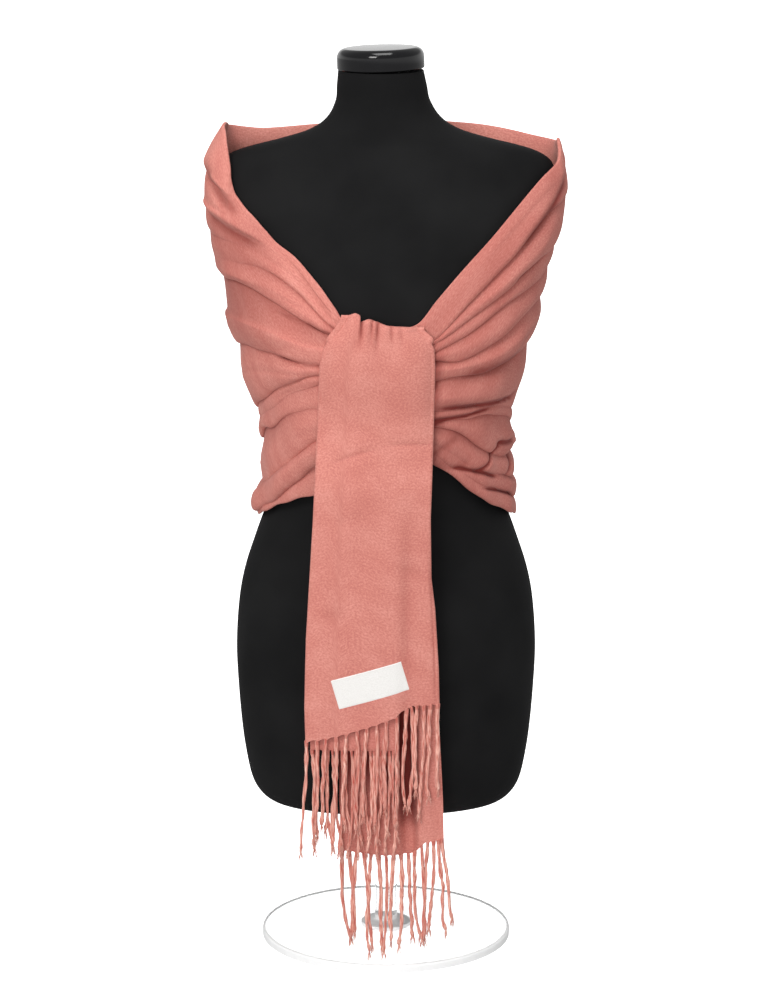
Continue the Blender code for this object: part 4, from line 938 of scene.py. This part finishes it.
def tubes(paths, radii, sides, inward=None):
    """Tubes about many paths at once, closed by a point at either end.  The ring stands
    square to the path, which lies nearly in one upright plane.  The last array says how far
    each point faces the direction inward, 0 to 1."""
    count, steps = paths.shape[:2]
    tangent = np.gradient(paths, axis=1)
    tangent /= np.linalg.norm(tangent, axis=-1, keepdims=True)
    first = np.cross(tangent, np.array((0.0, 1.0, 0.0)))
    first /= np.linalg.norm(first, axis=-1, keepdims=True)
    second = np.cross(tangent, first)
    turn = np.linspace(0, 2 * math.pi, sides, endpoint=False)
    ring = first[:, :, None] * np.cos(turn)[:, None] + second[:, :, None] * np.sin(turn)[:, None]
    rings = paths[:, :, None] + ring * radii[..., None, None]
    inward = np.zeros_like(paths) if inward is None else inward
    facing = np.clip((ring * inward[:, :, None]).sum(-1), 0, 1).reshape(count, -1)
    tips = np.stack([paths[:, 0] - tangent[:, 0] * radii[:, :1] * 0.6,
                     paths[:, -1] + tangent[:, -1] * radii[:, -1:] * 0.6], axis=1)
    points = np.concatenate([rings.reshape(count, -1, 3), tips], axis=1)
    block = steps * sides + 2
    first_ring = np.arange(sides)
    after = np.roll(first_ring, -1)
    last = (steps - 1) * sides
    fans = np.concatenate([np.stack([after, first_ring, np.full(sides, block - 2)], -1),
                           np.stack([first_ring + last, after + last, np.full(sides, block - 1)], -1)])
    shift = (np.arange(count) * block)[:, None, None]
    quads = (grid_faces(steps, sides, ring=True)[None] + shift).reshape(-1, 4)
    facing = np.concatenate([facing, np.zeros((count, 2))], axis=1)
    return points.reshape(-1, 3), quads, (fans[None] + shift).reshape(-1, 3), facing.ravel()


def frayed_ends(paths, random):
    """Middle lines of the hairs below each knot: two tufts fork from the strand's end, and
    each hair falls on a slight bow of its own, none lower than a little above the floor."""
    count = len(paths) * HAIRS
    end = np.repeat(paths[:, -1], HAIRS, axis=0)
    fork = np.tile(np.where(np.arange(HAIRS) % 2, 2.2, -2.0), len(paths))[:, None] * np.array((1.0, 0.3, 0))
    spread = fork * np.repeat(random.uniform(0.3, 1.3, len(paths)), HAIRS)[:, None]
    spread += random.normal(0, 0.5, (count, 3)) * np.array((1, 1, 0))
    fall = random.uniform(6, 13, (count, 1)) * MM
    t = np.linspace(0, 1, HAIR_STEPS)
    hairs = end[:, None] + spread[:, None] * MM * (t[None, :, None] ** 1.3)
    hairs[..., 0] += random.uniform(-1, 1, (count, 1)) * 0.8 * MM * np.sin(math.pi * t)
    hairs[..., 2] = np.maximum(hairs[..., 2] + 2 * MM - fall * t, HAIR_FLOOR)
    return hairs, np.broadcast_to((0.48 - 0.25 * t) * MM, hairs.shape[:2])


def twisted_fringe(name, paths, material, seed, thick=1.0):
    """Each strand is two plies wound round its path in a helix of 36 to 68 mm pitch, loose in
    places.  It thins towards a small knot at its end, from which two frayed tufts fork.  The
    groove between the plies gets painted shade, and so does the root under the hem; every strand is also
    darker by a random share of its own."""
    count = len(paths)
    random = np.random.default_rng(seed)
    number = np.arange(count)[:, None]
    length = np.linalg.norm(np.diff(paths, axis=1), axis=-1).cumsum(axis=1)
    length = np.concatenate([np.zeros((count, 1)), length], axis=1)
    t = length / length[:, -1:]
    uneven = 0.12 * np.sin(17 * t + 2 * number) + 0.06 * np.sin(51 * t + 5 * number)
    radius = thick * (STRAND_RADIUS - 0.5 * t + uneven) * MM * random.uniform(0.82, 1.15, (count, 1))
    knot = KNOT_SIZE * bell(t - KNOT_PLACE, 0.022)
    pitch = (52 + 16 * np.sin(1.3 * number)) * MM
    angle = 2 * math.pi * length / pitch + 1.9 * number + 0.8 * np.sin(9 * t + number)
    loose = 0.34 + 0.3 * np.clip(np.sin(6 * t + 3.1 * number), 0, 1) ** 2 * ease(t, 0.95, 0.85)
    wind = np.stack([np.cos(angle), np.sin(angle), 0 * angle], -1)
    wind = np.concatenate([wind, -wind])
    offset = np.tile(radius * loose, (2, 1))[..., None]
    points, quads, fans, facing = tubes(np.tile(paths, (2, 1, 1)) + wind * offset,
                                        np.tile(radius + knot, (2, 1)), PLY_SIDES, -wind)
    own = np.tile(random.uniform(0, 0.3, count), 2)
    shade = np.clip(facing.reshape(2 * count, -1) ** 1.5 + own[:, None], 0, 0.95)
    # Painted shade where each ply comes out under the hem.
    under_hem = slice(0, PLY_SIDES * 5)
    shade[:, under_hem] = np.maximum(shade[:, under_hem], 0.55)
    hair_points, hair_quads, hair_fans, hair_shade = tubes(*frayed_ends(paths, random), HAIR_SIDES)
    shift = len(points)
    faces = [np.concatenate([quads, hair_quads + shift]), np.concatenate([fans, hair_fans + shift])]
    return add_piece(name, np.concatenate([points, hair_points]), faces, material, sharp=180,
                     shade=np.concatenate([shade.ravel(), hair_shade]))


def yarn_material():
    """Twisted wool yarn: the cloth's dye, streaked along the strand and darkened by its shade attribute."""
    material, tree, shader = plain_material(
        "rose_yarn", (0.60, 0.21, 0.16), 0.85, {"Specular IOR Level": 0.2, "Sheen Weight": 0.3,
                                                "Sheen Roughness": 0.45, "Sheen Tint": (1.0, 0.78, 0.72, 1)})
    fibres = noise(tree, mapped(tree, object_place(tree), (850, 850, 70)), 1.0)
    dye = colour_ramp(tree, fibres, ((0.3, (0.54, 0.125, 0.095)), (0.7, (1.0, 0.61, 0.50))))
    # Painted shade: the shade attribute darkens the yarn in the grooves between its plies and where it leaves
    # the hem, and by a random share from strand to strand.
    groove = node(tree, "ShaderNodeAttribute", attribute_name="shade").outputs["Fac"]
    tree.links.new(mixed(tree, groove, dye, (0.44, 0.06, 0.045, 1)), shader.inputs["Base Color"])
    add_bump(tree, shader, fibres, 0.4, 0.3 * MM)
    return material


def strand_roots(strands, hem, smooth):
    """x and height of each strand's root, a little above the hem's lowest points."""
    roots = np.array([row[0] for row in strands]) * MM
    return roots, smooth_along(hem, roots, smooth) - ROOT_DROP


def fringed_end(layer, layer_node, strands, strands_node):
    """Hide the imported parts whose place an end of the shawl's layer of cloth and its fringe take."""
    for piece, cad_node in ((layer, layer_node), (strands, strands_node)):
        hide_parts(cad_node)


rose_yarn = yarn_material()
front_roots, front_root_heights = strand_roots(FRONT_STRANDS, FRONT_HEM, HEM_SMOOTH)
front_points = front_tail_surface(96, front_roots)
front_layer = cloth_shell("front_layer", front_points, along_surface(front_points), rose_cloth,
                          thickness=1.0 * MM, outward=-1, shade=tail_shade(front_points))
front_strands = twisted_fringe("front_strands", strand_paths(FRONT_STRANDS, front_root_heights, 0.0),
                               rose_yarn, seed=3)
fringed_end(front_layer, "front_tail", front_strands, "front_tail_fringe")

# --------------------------------------------------------------- the inner layer with its fringe
# The second layer of the same end.  Its hem is cut level and shows below the slanting hem
# in front; it has a fringe of its own, pressed between the other two.

INNER_DEPTH, INNER_TOP, INNER_LEFT, INNER_INSET = 5.6 * MM, 560 * MM, 14 * MM, 4
INNER_HEM = ((-85, 252), (14, 252))
INNER_STRANDS = (
    (-79, -75, 96, 2), (-73, -77, 112, -3), (-67, -64, 90, 3), (-62, -58, 110, -2.5), (-57, -60, 98, 2),
    (-52, -48, 108, -3), (-47, -51, 112, 2.5), (-42, -39, 92, -2), (-37, -41, 110, 3), (-32, -28, 104, -3),
    (-27, -31, 112, 2), (-22, -18, 96, -2.5), (-17, -20, 110, 3), (-12, -9, 100, -2), (-7, -11, 112, 2.5),
    (-2, 2, 92, -2), (3, -1, 108, 2), (8, 11, 98, -2), (12, 8, 112, 1.5),
)
LAYER_HEM_SMOOTH = 2 * MM


def hanging_layer(face_depth, table, hem, top, left_limit, columns, rows, roots, relief):
    """A flat layer behind the front tail: points at a fixed depth behind its plain face,
    between two edges read from a table, from its top down to its hem."""
    low_right, low_left = edges_at(table, 0.0)
    share = np.linspace(0, 1, columns)
    hem_x = low_right + (min(low_left, left_limit) - low_right) * share
    bottom = smooth_along(hem, hem_x, LAYER_HEM_SMOOTH) + hem_scallops(hem_x, roots)
    z = bottom + (top - bottom) * np.linspace(1, 0, rows)[:, None] ** 1.15
    right, left = edges_at(table, z)
    x = right + (np.minimum(left, left_limit) - right) * share
    return np.stack([x, -(tail_face(x, z) - face_depth + relief(x, z)), z], -1)


def inner_relief(x, z):
    """Faint long waves, as in a layer that is pressed flat by the one in front of it."""
    return 0.4 * MM * np.sin(x / (11 * MM) + z / (90 * MM))


def inner_shade(points):
    """Dark in the narrow shadow under the slanting hem in front, and a little so at its own hem."""
    under_front_hem = smooth_along(FRONT_HEM, points[..., 0], HEM_SMOOTH) - points[..., 2]
    in_shadow = np.exp(-np.clip(under_front_hem, 0, None) / (2.6 * MM))
    return 0.85 * in_shadow + 0.25 * ease(points[..., 2], 256 * MM, 251 * MM)


inner_roots, inner_root_heights = strand_roots(INNER_STRANDS, INNER_HEM, LAYER_HEM_SMOOTH)
inner_edges = [(z, right + INNER_INSET, left) for z, right, left in FRONT_TAIL_EDGES]
inner_points = hanging_layer(INNER_DEPTH, inner_edges, INNER_HEM, INNER_TOP, INNER_LEFT, 70, 110,
                             inner_roots, inner_relief)
inner_layer = cloth_shell("inner_layer", inner_points, along_surface(inner_points), rose_cloth,
                          shade=inner_shade(inner_points))
inner_paths = strand_paths(INNER_STRANDS, inner_root_heights, INNER_DEPTH)
inner_strands = twisted_fringe("inner_strands", inner_paths, rose_yarn, seed=5, thick=0.86)
fringed_end(inner_layer, "tail_inner_layer", inner_strands, "tail_inner_fringe")

# ---------------------------------------------------------------- the back tail with its fringe
# The other end of the shawl comes out under the tie and hangs behind, longer than the
# front one, with one deep fold down it.

BACK_TAIL_DEPTH, BACK_TAIL_TOP = 8.3 * MM, 691.7 * MM
BACK_TAIL_LIMIT = 1.0                      # metres, so no limit: its left edge shows in full
BEHIND_FRINGE = 7.5 * MM                   # how much further back it hangs behind the two fringes
DEEP_FOLD, DEEP_FOLD_WIDTH, DEEP_FOLD_PLACE = 12 * MM, 7.5 * MM, 23 * MM
BACK_SINK = 0.6 * MM
BACK_TAIL_EDGES = (
    (130, -49, 61), (152, -49, 62), (195, -50, 61), (284, -50, 56.5), (400, -46, 47),
    (560, -40, 38), (640, -36, 30), (692, -32, 26),
)
BACK_HEM = ((-49, 137), (-7, 132), (28, 132), (40, 147), (62, 152))
BACK_STRANDS = (
    (-47, -40, 98, -2.5), (-40, -34, 92, 2), (-32, -37, 96, -2), (-24, -16, 104, 2), (-16, -20, 108, -2),
    (-8, -5, 104, 1.5), (0, -3, 108, 2), (8, 5, 98, -1.5), (16, 14, 100, 2), (24, 27, 96, 1.5),
    (31, 36, 94, -2), (38, 40, 108, 2), (45, 42, 106, -2), (51, 46, 102, 1.5), (56, 63, 100, 1.5),
    (60, 72, 92, 1),
)


def behind_fringe(x, z):
    """How far the tail gives way to the strands in front of it, all but its left edge."""
    return BEHIND_FRINGE * ease(x, 37 * MM, 29 * MM) * ease(z, 300 * MM, 262 * MM)


def back_relief(x, z):
    """One deep fold down the tail, shallower at its ends, and shallow waves."""
    middle = DEEP_FOLD_PLACE + 3 * MM * np.sin(z / (60 * MM))
    reach = ease(z, 440 * MM, 330 * MM) * (0.25 + 0.75 * ease(z, 138 * MM, 175 * MM))
    fold = DEEP_FOLD * np.exp(-((x - middle) / DEEP_FOLD_WIDTH) ** 4) * reach
    wave = 0.8 * MM * np.sin(x / (9 * MM) + z / (70 * MM)) * ease(z, 640 * MM, 400 * MM)
    return wave - fold - BACK_SINK - behind_fringe(x, z)


def back_shade(points):
    """Dark under the hems in front and down the deep fold, lighter towards the tail's hem."""
    x, z = points[..., 0], points[..., 2]
    under_hems = 0.95 * ease(x, 36 * MM, 30 * MM) * (0.12 + 0.88 * ease(z, 185 * MM, 245 * MM))
    in_fold = 0.9 * np.exp(-((x - DEEP_FOLD_PLACE) / (10 * MM)) ** 4) * ease(z, 150 * MM, 185 * MM)
    return np.clip(np.maximum(under_hems, in_fold), 0, 0.97)


back_roots, back_root_heights = strand_roots(BACK_STRANDS, BACK_HEM, LAYER_HEM_SMOOTH)
back_points = hanging_layer(BACK_TAIL_DEPTH, BACK_TAIL_EDGES, BACK_HEM, BACK_TAIL_TOP, BACK_TAIL_LIMIT,
                            100, 200, back_roots, back_relief)
back_layer = cloth_shell("back_layer", back_points, along_surface(back_points), rose_cloth,
                         shade=back_shade(back_points))
back_paths = strand_paths(BACK_STRANDS, back_root_heights,
                          BACK_TAIL_DEPTH + behind_fringe(back_roots, back_root_heights))
back_strands = twisted_fringe("back_strands", back_paths, rose_yarn, seed=7, thick=0.95)
fringed_end(back_layer, "back_tail", back_strands, "back_tail_fringe")

# -------------------------------------------------------------------------------- the label
# A small woven label in white satin, its ends turned in and its edge stitched down to the
# front tail with white thread.  It is bare.

LABEL_WIDTH, LABEL_HEIGHT, LABEL_WALL, LABEL_GAP = 78 * MM, 33 * MM, 0.9 * MM, 0.5 * MM
LABEL_MIDDLE, LABEL_TILT = (-17 * MM, 325 * MM), math.radians(16)
LABEL_EDGE, LABEL_SATIN = 1.2 * MM, 0.5 * MM
STITCH_INSET, STITCH_EVERY, STITCH_LENGTH, THREAD_RADIUS = 1.7 * MM, 3 * MM, 1.9 * MM, 0.17 * MM


def label_place(u, v, out):
    """A point of the label: u along it, v up it, turned by its tilt and laid on the tail's face."""
    x = LABEL_MIDDLE[0] + u * math.cos(LABEL_TILT) - v * math.sin(LABEL_TILT)
    z = LABEL_MIDDLE[1] + u * math.sin(LABEL_TILT) + v * math.cos(LABEL_TILT)
    return np.stack([x, -tail_face(x, z) - tail_relief(x, z) - out, z], -1)


def label_surface(columns, rows):
    """A flat piece whose outermost strip on every side falls off in a quarter round."""
    u = np.linspace(-0.5, 0.5, columns)[None] * LABEL_WIDTH
    v = np.linspace(0.5, -0.5, rows)[:, None] * LABEL_HEIGHT
    edge = np.minimum(LABEL_WIDTH / 2 - np.abs(u), LABEL_HEIGHT / 2 - np.abs(v))
    fall = 1 - np.sqrt(np.clip(1 - (1 - np.clip(edge / LABEL_EDGE, 0, 1)) ** 2, 0, 1))
    return label_place(u + 0 * v, v + 0 * u, LABEL_GAP + LABEL_WALL * (1 - 0.6 * fall))


def label_stitches():
    """Short running stitches a little inside the label's edge: each is a low arc along a
    rectangle, read off between its corners by the length from the first of them."""
    wide, tall = LABEL_WIDTH / 2 - STITCH_INSET, LABEL_HEIGHT / 2 - STITCH_INSET
    corners = np.array(((-wide, tall), (wide, tall), (wide, -tall), (-wide, -tall), (-wide, tall)))
    corner_at = np.cumsum((0, 2 * wide, 2 * tall, 2 * wide, 2 * tall))
    perimeter = corner_at[-1]
    count = int(perimeter / STITCH_EVERY)
    at = (np.arange(count)[:, None] * perimeter / count + np.linspace(0, STITCH_LENGTH, 5)) % perimeter
    u, v = (np.interp(at, corner_at, corners[:, k]) for k in range(2))
    arc = np.sin(np.linspace(0, math.pi, 5))[None]
    return label_place(u, v, LABEL_GAP + LABEL_WALL + (0.16 * arc - 0.02) * MM)


def satin_material():
    """White satin: fine yarns across the label, each a little lighter or darker."""
    material, tree, shader = plain_material("white_satin", (0.88, 0.87, 0.85), 0.5, {"Sheen Weight": 0.2})
    yarns = noise(tree, mapped(tree, object_place(tree), (700, 700, 2600), (0, LABEL_TILT, 0)), 1.0)
    tone = colour_ramp(tree, yarns, ((0.3, (0.78, 0.765, 0.74)), (0.7, (0.90, 0.885, 0.86))))
    tree.links.new(tone, shader.inputs["Base Color"])
    add_bump(tree, shader, yarns, 0.3, 0.2 * MM)
    return material


def thread_material():
    """White sewing thread, bumped by its twist."""
    material, tree, shader = plain_material("white_thread", (0.78, 0.76, 0.73), 0.6)
    add_bump(tree, shader, noise(tree, object_place(tree), 1800.0), 0.3, 0.1 * MM)
    return material


label_points = label_surface(81, 37)
label_patch = cloth_shell("label_patch", label_points, along_surface(label_points), satin_material(),
                          thickness=LABEL_SATIN)
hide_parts("label")
stitch_paths = label_stitches()
stitch_radii = np.full(stitch_paths.shape[:2], THREAD_RADIUS)
stitch_points, stitch_quads, stitch_fans, _ = tubes(stitch_paths, stitch_radii, 5)
label_stitching = add_piece("label_stitching", stitch_points, [stitch_quads, stitch_fans], thread_material(),
                            sharp=180)
